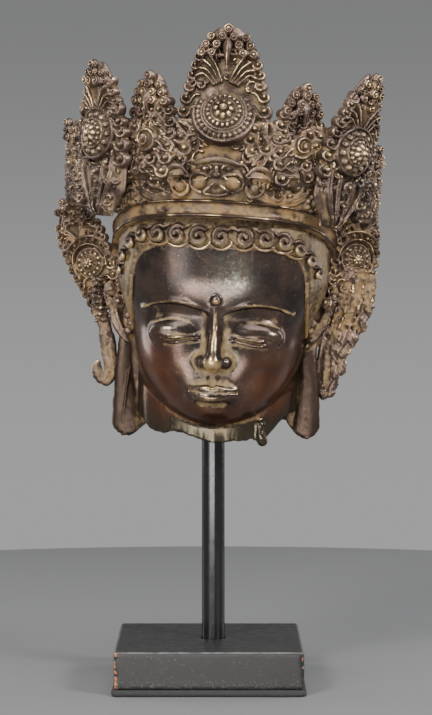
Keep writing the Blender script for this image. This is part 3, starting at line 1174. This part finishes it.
def build_curls(material):
    clay = Clay((-59, -58, 56), (59, -4, 123), FINE)

    def frame_at(x, z):
        side, front, _ = (float(s) for s in head_spread(np.float64(z)))
        share = min(abs(x) / side, 0.985)
        y = -front * (1 - share**ROUNDNESS) ** (1 / ROUNDNESS) - 0.9
        normal = np.array((math.copysign(share ** (ROUNDNESS - 1) / side, x),
                           -(abs(y) / front) ** (ROUNDNESS - 1) / front, 0))
        normal /= np.linalg.norm(normal)
        return np.array((x, y, z)), normal, np.array((-normal[1], normal[0], 0))

    for x, z, size in CURLS:
        centre, outward, across = frame_at(x, z)
        hand = 1 if x < 8 else -1
        t = np.linspace(0, 1, 20)
        turn = math.pi / 2 - hand * 0.7 + hand * t * 2 * math.pi * 1.25
        reach = size * (0.88 - 0.66 * t)
        points = [centre + across * (r * math.cos(a)) + np.array((0, 0, r * math.sin(a)))
                  + outward * (0.8 + 2.4 * s)
                  for r, a, s in zip(reach, turn, t)]
        lead = points[0] + across * (hand * size * 0.60) + np.array((0, 0, size * 0.30)) - outward * 0.8
        clay.tube([lead] + points,
                  size * np.concatenate(([0.14], np.interp(t, [0, 0.45, 1], [0.26, 0.40, 0.22]))), 0.1)
        clay.ball(points[-1] + outward * 0.2, size * 0.30, 0.1)
        if abs(x) > 44:
            continue
        # Scalloped edge under the curl
        aim = np.array((x * 0.6, 70.0)) - np.array((x, z))
        middle = math.atan2(aim[1], aim[0])
        arc = []
        for a in np.linspace(middle - 1.05, middle + 1.05, 9):
            place, normal, _ = frame_at(x + 1.22 * size * math.cos(a) / max(across[0], 0.6),
                                        z + 1.22 * size * math.sin(a))
            arc.append(place + normal * 0.3)
        clay.tube(arc, 0.8, 0.5)
    for side in (-1, 1):
        line = [frame_at(side * a, b)[0] for a, b in ((46.4, 88), (46.6, 80), (46.8, 70), (46.6, 60))]
        clay.tube(curve(line, 12), 1.1, 0.5)
    corners, faces, fine, broad = clay.surface(1.0, 3.0)
    on_curl = np.zeros(len(corners))
    low = np.zeros(len(corners))
    for x, z, size in CURLS:
        centre, outward, _ = frame_at(x, z)
        away = corners - centre
        near = smooth((size * 1.15 - np.linalg.norm(away, axis=1)) / 0.8 + 1)
        on_curl = np.maximum(on_curl, near)
        low = np.maximum(low, near * smooth(0.45 - away[:, 2] / size) * smooth(away @ outward - 0.4))
    values = metal_values(corners, fine, broad, 0.2, 1.0)
    values["dust"] = clamp(values["dust"] * (0.35 + 0.65 * (1 - on_curl)) + 0.65 * (1 - on_curl))
    values["wear"] = clamp(clamp((0.455 - fine) * 8) * low + 0.3 * values["wear"] * on_curl)
    values["pale"] = on_curl * 0.75
    add_piece("hair_curls", corners, faces, values, material, CURL_TRIANGLES)


def right_cloth(clay):
    """Streamer in a U and the rough gathered cloth beside it."""
    hang = [(59.8, -1, 86), (56.5, -1, 64), (54.6, -1, 47.5), (54.6, -1, 34), (57.4, -1, 28),
            (61.4, -1, 31), (62.9, -1, 40), (61.6, 0, 54), (64, 1, 66)]
    clay.tube(curve(hang, 44), 1.9, 0.3)
    clay.tube(curve([(59.5, 1, 80), (58.5, 1, 56), (58.5, 1, 34)], 16), np.linspace(4.5, 3.0, 16), 0.5,
              flat=0.4)
    folds = [[(79, 3, 91), (77.5, 2, 76), (71.5, 1, 62), (66.5, 0, 52), (65.6, 0, 42)],
             [(73.5, 2, 95), (71.5, 1, 79), (66, 0, 65), (62.5, 0, 52)],
             [(68, 1, 99), (66.5, 0, 84), (62.5, 0, 70), (61, 0, 58)],
             [(62.5, 1, 98), (61.8, 0, 88), (60.5, 0, 76)]]
    for fold, thick in zip(folds, (4.0, 4.2, 4.0, 3.4)):
        line = curve(fold, 20)
        clay.tube(line, thick * np.linspace(1.0, 0.7, 20), 0.3, flat=0.6)
        for k in (-0.55, 0.1, 0.7):
            crease = [(x + k * thick + 0.5 * math.sin(0.9 * i + thick), y - 2.0, z)
                      for i, (x, y, z) in enumerate(line[1:-2])]
            clay.tube(crease, 0.65, 0.3)
    for x, z, r in ((76.0, 67.5, 3.4), (71.4, 60.6, 2.8), (66.9, 52.5, 2.6), (66.4, 44.5, 2.2),
                    (78.6, 76.0, 2.8)):
        clay.ball((x, 0, z), r, 1.0)


def left_ribbon(clay):
    """Ribbed ribbon that hangs from the fan and ends in a hook."""
    points = [(-66.8, 3, 84), (-66.2, 1, 70), (-62.9, 0, 58), (-60.3, 0, 47), (-58.7, -1, 37),
              (-60.6, -1, 31.0), (-64.6, -1, 32.6), (-66.2, -1, 37.0), (-65.8, -1, 40)]
    path = curve(points, 40)
    share = np.linspace(0, 1, 40)
    wide = np.interp(share, [0, 0.2, 0.34, 0.5, 0.62, 0.75, 0.88, 1],
                     [3.8, 3.4, 4.4, 4.0, 3.6, 3.4, 3.0, 1.8])
    clay.tube(path, wide, 0.4, flat=0.5)
    clay.tube(path[10:30] - np.array((0, 2.6, 0)), 0.9, 0.5, cut=True)
    for k in (-0.75, 0.75):
        rib = [(p[0] + k * w, p[1] - 0.8, p[2]) for p, w in zip(path[9:30], wide[9:30])]
        clay.tube(rib, 0.7, 0.2)
    for k in range(8):
        z = 85 - 3.1 * k
        x = float(np.interp(-z, -path[:20, 2], path[:20, 0]))
        clay.tube([(x - 3.6, 0.2, z + 0.8), (x, -2.0, z), (x + 3.4, -0.6, z + 0.5)], 1.2, 0.2)
        clay.ball((x - 3.4, -0.6, z - 0.6), 1.2, 0.2)


# Ears with stretched lobes, earrings and ribbons: lobe and web with their radii, beads as x, z and radius
FOLD_RADII = (1.6, 2.6, 2.9, 1.2)
EARS = {
    "ear_left": dict(
        side=-1, end=1.6, hang=left_ribbon,
        lobe=[(-51.2, -1, 56, 3.8), (-51.4, -3, 38, 4.6), (-49.8, -4, 20, 6.6), (-48.2, -4, 7, 8.2),
              (-48.0, -4, 1, 8.0)],
        crest=[(-47.9, -5.5, 40), (-49.2, -6.8, 24), (-50.2, -7.2, 9)],
        fold=[(-62.6, -4, 79), (-59.4, -5, 71.5), (-55.6, -5.5, 61), (-50.3, -5, 52.5)],
        beads=[(-59.4, 80.6, 3.4), (-53.8, 82.2, 2.8), (-55.6, 74.0, 3.2), (-51.4, 76.0, 2.3)],
        web=[(-46.5, 0, 54, 4.0), (-44.0, -1, 38, 5.5), (-41.5, -1, 22, 7.0), (-40, -1, 12, 7.6)],
    ),
    "ear_right": dict(
        side=1, end=5.0, hang=right_cloth,
        lobe=[(49.4, 0, 60, 4.2), (48.2, -3, 50, 4.6), (49.4, -4, 26, 6.0), (49.0, -4, 9, 7.2),
              (48.6, -4, 3, 6.8)],
        crest=[(45.9, -4.4, 48), (47.0, -5.8, 28), (47.0, -6.4, 10)],
        fold=[(60.7, -3, 87.5), (58.6, -5, 75), (53.8, -5.5, 64), (47.6, -5, 54)],
        beads=[(51.6, 84.4, 3.6), (48.0, 91.8, 2.7), (55.4, 92.2, 2.7), (56.2, 78.8, 2.5),
               (49.8, 76.8, 2.3)],
        web=[(45.5, 0, 54, 3.4), (43.0, -1, 36, 5.4), (41.0, -1, 20, 6.8), (40.6, -1, 12, 7.0)],
    ),
}


def strap(clay, line, count, blend, flat):
    """A flat strap along points that carry their own radius."""
    line = np.array(line)
    wide = curve(np.stack((line[:, 3], line[:, 3]), 1), count)[:, 0]
    clay.tube(curve(line[:, :3], count), wide, blend, flat=flat)


def build_ear(name, ear, material):
    side, lobe, end = ear["side"], ear["lobe"], ear["end"]
    low = np.array((min(side * 30, side * 86), -18, -4.0))
    high = np.array((max(side * 30, side * 86), 16, 106))
    clay = Clay(low, high, 0.5)
    # Sheet of metal between the lobe and the jaw
    strap(clay, ear["web"], 16, 0.8, 0.5)
    # Upper ear, mostly behind the earring
    helix = ((46, -3, 84), (50, -3, 93), (55, 1, 94), (58, 3, 86), (55, 2, 74), (51, 0, 58))
    clay.tube(curve([(side * a, b, c) for a, b, c in helix], 24), 3.0, 1.0)
    clay.tube(curve([(side * 49, -1, 90), (side * 51, 0, 76), (side * 50, -1, 58)], 12), 4.2, 1.0, flat=0.6)
    # Lobe: a long flat strap with a thin crest and a rough end
    strap(clay, lobe, 24, 1.4, 0.44)
    clay.tube(curve(ear["crest"], 14), 0.6, 0.8)

    def bottom(x, y, z):
        return z - end - 0.9 * noise.at(x, y, z, 2.0) - 0.075 * (x - lobe[-1][0]) ** 2

    clay.add(low, (high[0], high[1], 14), bottom, 2.4, cut=True)
    # Short folded strap of the earring, its edges raised
    band = curve(ear["fold"], 16)
    wide = np.interp(np.linspace(0, 1, 16), [0, 0.33, 0.66, 1], FOLD_RADII)
    clay.tube(band, wide, 0.3, flat=0.6)
    for k in (-0.8, 0.0, 0.8):
        rim = [(p[0] + k * w, p[1] - 1.2, p[2] + 0.25 * k * w * side) for p, w in zip(band, wide)]
        clay.tube(rim, 0.55, 0.2)
    for x, z, r in ear["beads"]:
        clay.ball((x, -7.0, z), r, 0.2)
        turns = np.linspace(0, 2 * math.pi, 15)
        ring = [(x + 1.02 * r * math.cos(k), -7.6, z + 1.02 * r * math.sin(k)) for k in turns]
        clay.tube(ring, r * 0.24, 0.1)
        clay.ball((x, -7.0 - r * 0.9, z), r * 0.42, 0.1)
    for k in range(10):
        a = side * (46.5 + 1.2 * math.sin(k * 2.1) + 0.35 * k)
        clay.egg((a, -6.5, 96 - 4.2 * k), (2.6, 2.2, 2.3), 0.3)
    ear["hang"](clay)
    x, y, z = clay.grid()
    outer = smooth((side * x - 55) / 3)
    rough = 0.18 + outer * (0.35 if side < 0 else 0.9)
    clay.field += (rough * noise.at(x, y, z, 1.7) + 0.5 * rough * noise.at(x, y, z, 3.4)).astype(np.float32)
    corners, faces, fine, broad = clay.surface(1.1, 3.0)
    x, y, z = corners.T
    on_lobe = smooth((57.5 - side * x) / 1.5) * smooth((56 - z) / 8)
    patch = noise.at(x, y, z, 4.5) * 0.6 + noise.at(x, y, z, 1.6) * 0.5
    values = metal_values(corners, fine, broad, 0.7 * (1 - on_lobe), 1.0)
    on_web = on_lobe * smooth((44.5 - side * x + 0.06 * z) / 3)
    lobe_dust = clamp(0.03 + 0.40 * patch + 0.35 * on_web + 0.35 * smooth((end + 4 - z) / 5))
    values["dust"] = clamp(values["dust"] + 0.5 * patch) * (1 - on_lobe) + lobe_dust * on_lobe
    values["wear"] = values["wear"] * (1 - 0.6 * on_lobe)
    values["pale"] = on_lobe
    add_piece(name, corners, faces, values, material, EAR_TRIANGLES)


# Stand
def build_rod(material):
    columns = 72
    radius = ROD_DIAMETER / 2
    bottom, top = BLOCK_TOP - ROD_IN_BASE, NECK_HEIGHT + ROD_IN_HEAD
    levels = np.concatenate(([bottom, bottom + 0.3], np.linspace(bottom + 1, top - 1, 60),
                             [top - 0.3, top]))
    turn = np.linspace(0, 2 * math.pi, columns, endpoint=False)
    rings = []
    for z in levels:
        end = min(z - bottom, top - z)
        r = radius - 0.35 + 0.35 * math.sqrt(min(1, max(0, end / 0.5)))
        rings.append(np.stack((ROD_X + r * np.cos(turn), r * np.sin(turn), 0 * turn + z), 1))
    corners, faces = sweep(rings)
    on_frame(add_mesh("stand_rod", corners / 1000, faces, {}, material), "rod")


# Chips on the block's front corners: x, y, z and radius
CHIPS = (
    [(-49.6, -49.6, FELT_HEIGHT + k, 0.9 + 0.5 * abs(math.sin(k * 2.3)))
     for k in (0.6, 3.5, 6.2, 9.0, 12.4, 15.0, 18.6)]
    + [(49.6, -49.6, FELT_HEIGHT + k, 0.8 + 0.4 * abs(math.sin(k * 1.7))) for k in (12.5, 16.0, 18.8)]
)


def build_base(material):
    """Wooden block as clay, with worn edges, chips along the front and the hole for the rod."""
    half = np.array((BASE_WIDTH / 2, BASE_DEPTH / 2, BASE_HEIGHT / 2))
    centre_z = FELT_HEIGHT + half[2]
    clay = Clay((-52, -52, FELT_HEIGHT - 1.5), (52, 52, BLOCK_TOP + 1.5), 1.0)
    x, y, z = clay.grid()
    edge = 0.9
    dx, dy = np.abs(x) - half[0] + edge, np.abs(y) - half[1] + edge
    dz = np.abs(z - centre_z) - half[2] + edge
    outside = np.sqrt(np.maximum(dx, 0) ** 2 + np.maximum(dy, 0) ** 2 + np.maximum(dz, 0) ** 2)
    clay.field = (outside + np.minimum(np.maximum(np.maximum(dx, dy), dz), 0) - edge).astype(np.float32)
    for a, b, c, r in CHIPS:
        for k in range(3):
            shift = random.uniform(-0.5, 0.5, 3) * r
            clay.egg((a + shift[0], b + shift[1], c + shift[2] * 2),
                     (r * 0.7, r * 0.7, r * (0.8 + 0.5 * k)), 0.3, cut=True)
    clay.tube([(ROD_X, 0, BLOCK_TOP - ROD_IN_BASE - 0.3), (ROD_X, 0, BLOCK_TOP + 4)],
              ROD_DIAMETER / 2 + 0.25, cut=True)
    corners, faces = clay.mesh()
    x, y, z = corners.T
    chip = np.zeros(len(corners))
    for a, b, c, r in CHIPS:
        distance = np.sqrt((x - a) ** 2 + (y - b) ** 2 + ((z - c) * 0.7) ** 2)
        chip = np.maximum(chip, smooth((r * 1.15 - distance) / (r * 0.5)))
    side_x, side_y = half[0] - np.abs(x), half[1] - np.abs(y)
    corner = smooth((1.0 - side_x - side_y) / 1.0)
    rim = smooth((1.1 - np.maximum(BLOCK_TOP - z, np.minimum(side_x, side_y))) / 0.8)
    values = {"chip": chip, "rim": np.maximum(corner, rim), "low": smooth((FELT_HEIGHT + 9 - z) / 9)}
    on_frame(add_mesh("stand_block", corners / 1000, faces, values, material), "base")


def build_felt(material):
    columns = 360
    turn = np.linspace(0, 2 * math.pi, columns, endpoint=False)
    power = 0.055
    cos, sin = np.cos(turn), np.sin(turn)
    ex, ey = np.sign(cos) * np.abs(cos) ** power, np.sign(sin) * np.abs(sin) ** power
    fray = noise.at(ex * 60, ey * 60, 0 * ex, 5.0) * 0.35 + noise.at(ex * 60, ey * 60, 0 * ex, 1.3) * 0.3
    rings = []
    levels = [(0.0, -1.2), (0.05, -0.4), (0.6, 0.55), (1.6, 0.75), (2.6, 0.45), (3.3, -0.2), (3.5, -1.6)]
    for z, out in levels:
        reach = BASE_WIDTH / 2 + 0.7 + out + fray * (1 + 0.4 * math.sin(z * 3))
        rings.append(np.stack((reach * ex, reach * ey, 0 * ex + z), 1))
    corners, faces = sweep(rings)
    limit = BASE_WIDTH / 2 + 1.5
    low = np.clip(corners, (-limit, -limit, 0), (limit, limit, FELT_HEIGHT))
    parts, shapes = [low], [faces]
    count = len(low)
    ring = np.array([(0.05, 0, 0.0), (-0.025, 0, 0.045), (-0.025, 0, -0.045)])
    # Loose fibres along the frayed edge
    for _ in range(260):
        side = random.integers(0, 4)
        at = random.uniform(-50, 50)
        z = random.uniform(0.5, 3.2)
        start = np.array((at, -50.6, z))
        lean = random.uniform(-0.9, 0.9)
        length = random.uniform(0.5, 1.4)
        tip = start + (lean * length, -0.42 * length, -0.1)
        points = np.array([start, start + (lean * 0.4 * length, -0.28 * length, 0.2 * length), tip])
        points[:, 1] = np.maximum(points[:, 1], -limit)
        points[:, 2] = np.clip(points[:, 2], 0.1, 3.4)
        angle = side * math.pi / 2
        spin = np.array(((math.cos(angle), -math.sin(angle), 0), (math.sin(angle), math.cos(angle), 0),
                         (0, 0, 1)))
        rings = [(p + ring * (1.6 - 0.5 * i)) @ spin.T for i, p in enumerate(curve(points, 4))]
        fibre, triangles = sweep(rings)
        parts.append(fibre)
        shapes.append(triangles + count)
        count += len(fibre)
    points, triangles = np.concatenate(parts), np.concatenate(shapes)
    loose = np.zeros(len(points))
    loose[len(low):] = 1
    piece = add_mesh("stand_felt", points / 1000, triangles, {"loose": loose}, material)
    on_frame(piece, "felt_pad")


# Materials
class Shader:
    def __init__(self, name):
        self.material = bpy.data.materials.new(name)
        self.material.use_nodes = True
        self.nodes = self.material.node_tree.nodes
        self.links = self.material.node_tree.links
        self.surface = self.nodes["Principled BSDF"]
        self.space = self.nodes.new("ShaderNodeTexCoord").outputs["Object"]

    def put(self, socket, value):
        if isinstance(value, bpy.types.NodeSocket):
            self.links.new(value, socket)
        else:
            socket.default_value = value

    def attribute(self, name):
        node = self.nodes.new("ShaderNodeAttribute")
        node.attribute_name = name
        return node.outputs["Fac"]

    def noise(self, scale, detail=4.0, rough=0.55, warp=0.0):
        node = self.nodes.new("ShaderNodeTexNoise")
        node.inputs["Scale"].default_value = scale
        node.inputs["Detail"].default_value = detail
        node.inputs["Roughness"].default_value = rough
        node.inputs["Distortion"].default_value = warp
        self.links.new(self.space, node.inputs["Vector"])
        return node.outputs["Fac"]

    def math(self, kind, a, b=0.0, c=0.0):
        node = self.nodes.new("ShaderNodeMath")
        node.operation = kind
        for socket, value in zip(node.inputs, (a, b, c)):
            self.put(socket, value)
        return node.outputs[0]

    def ramp(self, value, low, high, to_low=0.0, to_high=1.0):
        node = self.nodes.new("ShaderNodeMapRange")
        node.interpolation_type = "SMOOTHSTEP"
        for key, number in (("From Min", low), ("From Max", high), ("To Min", to_low), ("To Max", to_high)):
            node.inputs[key].default_value = number
        self.put(node.inputs["Value"], value)
        return node.outputs["Result"]

    def mix(self, factor, a, b):
        node = self.nodes.new("ShaderNodeMix")
        node.data_type = "RGBA"
        self.put(node.inputs["Factor"], factor)
        for socket, value in zip((node.inputs[6], node.inputs[7]), (a, b)):
            self.put(socket, value if isinstance(value, bpy.types.NodeSocket) else (*value, 1.0))
        return node.outputs[2]

    def blend(self, factor, a, b):
        node = self.nodes.new("ShaderNodeMix")
        node.data_type = "FLOAT"
        for socket, value in zip((node.inputs["Factor"], node.inputs["A"], node.inputs["B"]),
                                 (factor, a, b)):
            self.put(socket, value)
        return node.outputs["Result"]

    def bump(self, height, strength, distance):
        node = self.nodes.new("ShaderNodeBump")
        node.inputs["Strength"].default_value = strength
        node.inputs["Distance"].default_value = distance
        self.links.new(height, node.inputs["Height"])
        self.links.new(node.outputs["Normal"], self.surface.inputs["Normal"])

    def set(self, **values):
        for key, value in values.items():
            self.put(self.surface.inputs[key.replace("_", " ")], value)


# Colours of the finishes
RED_BROWN = (0.18, 0.062, 0.026)
GREY_BLOOM = (0.20, 0.205, 0.17)
FACE_SPECKS = (0.36, 0.30, 0.22)
NECK_BROWN = (0.060, 0.050, 0.032)
RUBBED_DARK = (0.042, 0.026, 0.017)
OCHRE_DUST = (0.235, 0.140, 0.055)
PAINT_DUST = (0.23, 0.22, 0.21)
PAINT_SPECKS = (0.42, 0.41, 0.39)
PAINT_RUBBED = (0.20, 0.19, 0.18)
CHIPPED_WOOD = (0.42, 0.16, 0.07)
LOOSE_FIBRE = (0.16, 0.16, 0.155)


def bronze_material(name, dark, middle, dust_colour, brass, face=False):
    s = Shader(name)
    dust, wear, warm, pale = (s.attribute(key) for key in ("dust", "wear", "warm", "pale"))
    broad, small, tiny = s.noise(70, 3), s.noise(420, 4, 0.6), s.noise(1600, 3, 0.6)
    mottle = s.math("MULTIPLY_ADD", small, 0.6, -0.3)
    base = s.mix(s.ramp(broad, 0.35, 0.68), dark, middle)
    if face:
        base = s.mix(s.math("MULTIPLY", warm, 0.85), base, RED_BROWN)
        base = s.mix(s.math("MULTIPLY", pale, s.ramp(small, 0.38, 0.62, 0.3, 0.95)), base, GREY_BLOOM)
        base = s.mix(s.ramp(tiny, 0.64, 0.70, 0, 0.75), base, FACE_SPECKS)
        base = s.mix(s.math("MULTIPLY", s.attribute("neck"), 0.85), base, NECK_BROWN)
    else:
        base = s.mix(s.math("MULTIPLY", pale, 0.9), base, RUBBED_DARK)
    dusty = s.ramp(s.math("ADD", dust, mottle), 0.2, 0.85)
    pigment = s.mix(s.ramp(small, 0.3, 0.7), tuple(c * 0.45 for c in dust_colour), dust_colour)
    if not face:
        pigment = s.mix(s.ramp(s.noise(55, 3), 0.45, 0.62), pigment, OCHRE_DUST)
    colour = s.mix(dusty, base, pigment)
    bright = s.ramp(s.math("ADD", wear, mottle), 0.2, 0.85)
    colour = s.mix(bright, colour, brass)
    if not face:
        colour = s.mix(s.math("MULTIPLY", warm, 0.88), colour, tuple(c * 0.13 for c in dust_colour))
    metal = s.blend(bright, s.blend(dusty, 0.8 if face else 0.72, 0.12), 0.95)
    low, high = (0.15, 0.25) if face else (0.27, 0.42)
    rough = s.blend(bright, s.blend(dusty, s.ramp(tiny, 0.2, 0.8, low, high), 0.68), 0.30)
    s.set(Base_Color=colour, Metallic=metal, Roughness=rough)
    s.bump(s.math("ADD", small, s.math("MULTIPLY", tiny, 0.5)), 0.12 if face else 0.35, 0.0004)
    return s.material


def rod_material():
    s = Shader("black_rod_paint")
    s.set(Base_Color=s.mix(s.noise(90, 3), (0.005, 0.005, 0.006), (0.011, 0.011, 0.012)),
          Roughness=s.ramp(s.noise(300, 3), 0.3, 0.7, 0.12, 0.20), Metallic=0.0)
    s.bump(s.noise(900, 2), 0.04, 0.0002)
    return s.material


def block_material():
    s = Shader("black_block_paint")
    grain = s.noise(160, 5, 0.6)
    base = s.mix(grain, (0.006, 0.006, 0.007), (0.020, 0.020, 0.021))
    worn = s.math("MULTIPLY", s.attribute("rim"), s.ramp(grain, 0.35, 0.6, 0.25, 0.95))
    base = s.mix(worn, base, PAINT_RUBBED)
    specks = s.ramp(s.noise(1500, 2, 0.5), 0.68, 0.73)
    base = s.mix(s.math("MULTIPLY", specks, 0.8), base, PAINT_SPECKS)
    dusty = s.math("MULTIPLY", s.attribute("low"), s.ramp(s.noise(700, 4, 0.7), 0.5, 0.75, 0.0, 0.6))
    base = s.mix(dusty, base, PAINT_DUST)
    ragged = s.math("MULTIPLY_ADD", s.noise(900, 3), 0.8, -0.4)
    chip = s.ramp(s.math("ADD", s.attribute("chip"), ragged), 0.35, 0.65)
    base = s.mix(chip, base, CHIPPED_WOOD)
    s.set(Base_Color=base, Roughness=s.blend(chip, s.ramp(grain, 0.3, 0.7, 0.32, 0.48), 0.8))
    s.bump(s.noise(500, 4), 0.12, 0.0003)
    return s.material


def felt_material():
    s = Shader("black_felt_cloth")
    fuzz = s.noise(1800, 3, 0.7)
    base = s.mix(fuzz, (0.006, 0.006, 0.008), (0.05, 0.05, 0.052))
    s.set(Base_Color=s.mix(s.attribute("loose"), base, LOOSE_FIBRE), Roughness=0.95)
    s.bump(fuzz, 0.6, 0.0006)
    return s.material


# Photograph's view: its lens in pixels, and how far it looks down
VIEW_HEIGHT = 715
VIEW_FOCAL = 2317
VIEW_DROP = 92.5
SENSOR = 36


def add_camera():
    data = bpy.data.cameras.new("camera")
    data.sensor_fit = "VERTICAL"
    data.sensor_height = SENSOR
    data.lens = SENSOR * VIEW_FOCAL / VIEW_HEIGHT
    data.clip_start = 0.05
    data.clip_end = 30
    camera = bpy.data.objects.new("camera", data)
    bpy.context.scene.collection.objects.link(camera)
    camera.location = (0.0037, -1.255, 0.226)
    camera.rotation_euler = (math.pi / 2 - math.atan2(VIEW_DROP, VIEW_FOCAL), 0, 0)
    bpy.context.scene.camera = camera


# Soft boxes: place, width, height, watts and colour
WHITE = (1, 1, 1)
LIGHTS = {
    "key": ((-0.60, -1.00, 0.92), 0.30, 0.34, 15.5, (1, 0.98, 0.95)),
    "low": ((-0.15, -0.85, 0.05), 0.7, 0.12, 3.8, (1, 0.96, 0.90)),
    "fill": ((0.98, -0.82, 0.86), 0.26, 0.34, 17, (1, 0.99, 0.98)),
    "front": ((-0.75, -1.0, 0.30), 0.4, 0.7, 3.5, (1, 0.99, 0.97)),
    "top": ((0.1, -0.35, 1.0), 0.7, 0.5, 6, WHITE),
    "rim_left": ((-0.9, 0.45, 0.5), 0.3, 0.9, 5, WHITE),
    "rim_right": ((0.9, 0.45, 0.5), 0.3, 0.9, 5, WHITE),
}
LIGHT_TARGET = (0, 0, 0.25)

# Backdrop: pale below the horizon and darker above it
BACKDROP_HEIGHTS = (-0.10, 0.13)
BACKDROP_GREYS = ((0.49, 0.49, 0.49, 1), (0.255, 0.258, 0.258, 1))
BACKDROP_STRENGTH = 0.8
FLOOR_COLOUR = (0.185, 0.187, 0.192, 1)


def add_lights():
    for name, (place, width, height, power, colour) in LIGHTS.items():
        data = bpy.data.lights.new(name, "AREA")
        data.energy = power
        data.color = colour
        data.shape = "RECTANGLE"
        data.size = width
        data.size_y = height
        light = bpy.data.objects.new(name, data)
        bpy.context.scene.collection.objects.link(light)
        light.location = place
        light.rotation_euler = (Vector(LIGHT_TARGET) - Vector(place)).to_track_quat("-Z", "Y").to_euler()


def add_floor():
    mesh = bpy.data.meshes.new("floor")
    sides, reach = 128, 0.6
    turn = np.linspace(0, 2 * math.pi, sides, endpoint=False)
    mesh.from_pydata([(reach * math.cos(a), reach * math.sin(a), 0) for a in turn], [],
                     [list(range(sides))])
    stage = bpy.data.objects.new("floor", mesh)
    bpy.context.scene.collection.objects.link(stage)
    s = Shader("pale_floor")
    s.set(Base_Color=FLOOR_COLOUR, Roughness=0.5)
    mesh.materials.append(s.material)


def add_world():
    world = bpy.data.worlds.new("studio")
    world.use_nodes = True
    nodes, links = world.node_tree.nodes, world.node_tree.links
    place = nodes.new("ShaderNodeTexCoord")
    split = nodes.new("ShaderNodeSeparateXYZ")
    links.new(place.outputs["Generated"], split.inputs[0])
    height = nodes.new("ShaderNodeMapRange")
    height.interpolation_type = "SMOOTHSTEP"
    height.inputs["From Min"].default_value, height.inputs["From Max"].default_value = BACKDROP_HEIGHTS
    links.new(split.outputs["Z"], height.inputs["Value"])
    ramp = nodes.new("ShaderNodeValToRGB")
    for element, grey in zip(ramp.color_ramp.elements, BACKDROP_GREYS):
        element.color = grey
    links.new(height.outputs["Result"], ramp.inputs[0])
    links.new(ramp.outputs[0], nodes["Background"].inputs[0])
    nodes["Background"].inputs[1].default_value = BACKDROP_STRENGTH
    bpy.context.scene.world = world


add_camera()
add_floor()
add_world()
add_lights()
crown_bronze = bronze_material("crown_bronze", dark=(0.062, 0.042, 0.033), middle=(0.178, 0.120, 0.092),
                               dust_colour=(0.25, 0.166, 0.080), brass=(0.76, 0.56, 0.32))
face_bronze = bronze_material("face_bronze", dark=(0.044, 0.034, 0.032), middle=(0.090, 0.060, 0.049),
                              dust_colour=(0.27, 0.185, 0.085), brass=(0.74, 0.51, 0.25), face=True)
build_head(face_bronze)
build_curls(crown_bronze)
build_band(crown_bronze)
build_wall(crown_bronze)
for name, leaf in LEAVES.items():
    build_leaf(name, leaf, crown_bronze)
for name, ear in EARS.items():
    build_ear(name, ear, crown_bronze)
build_rod(rod_material())
build_base(block_material())
build_felt(felt_material())
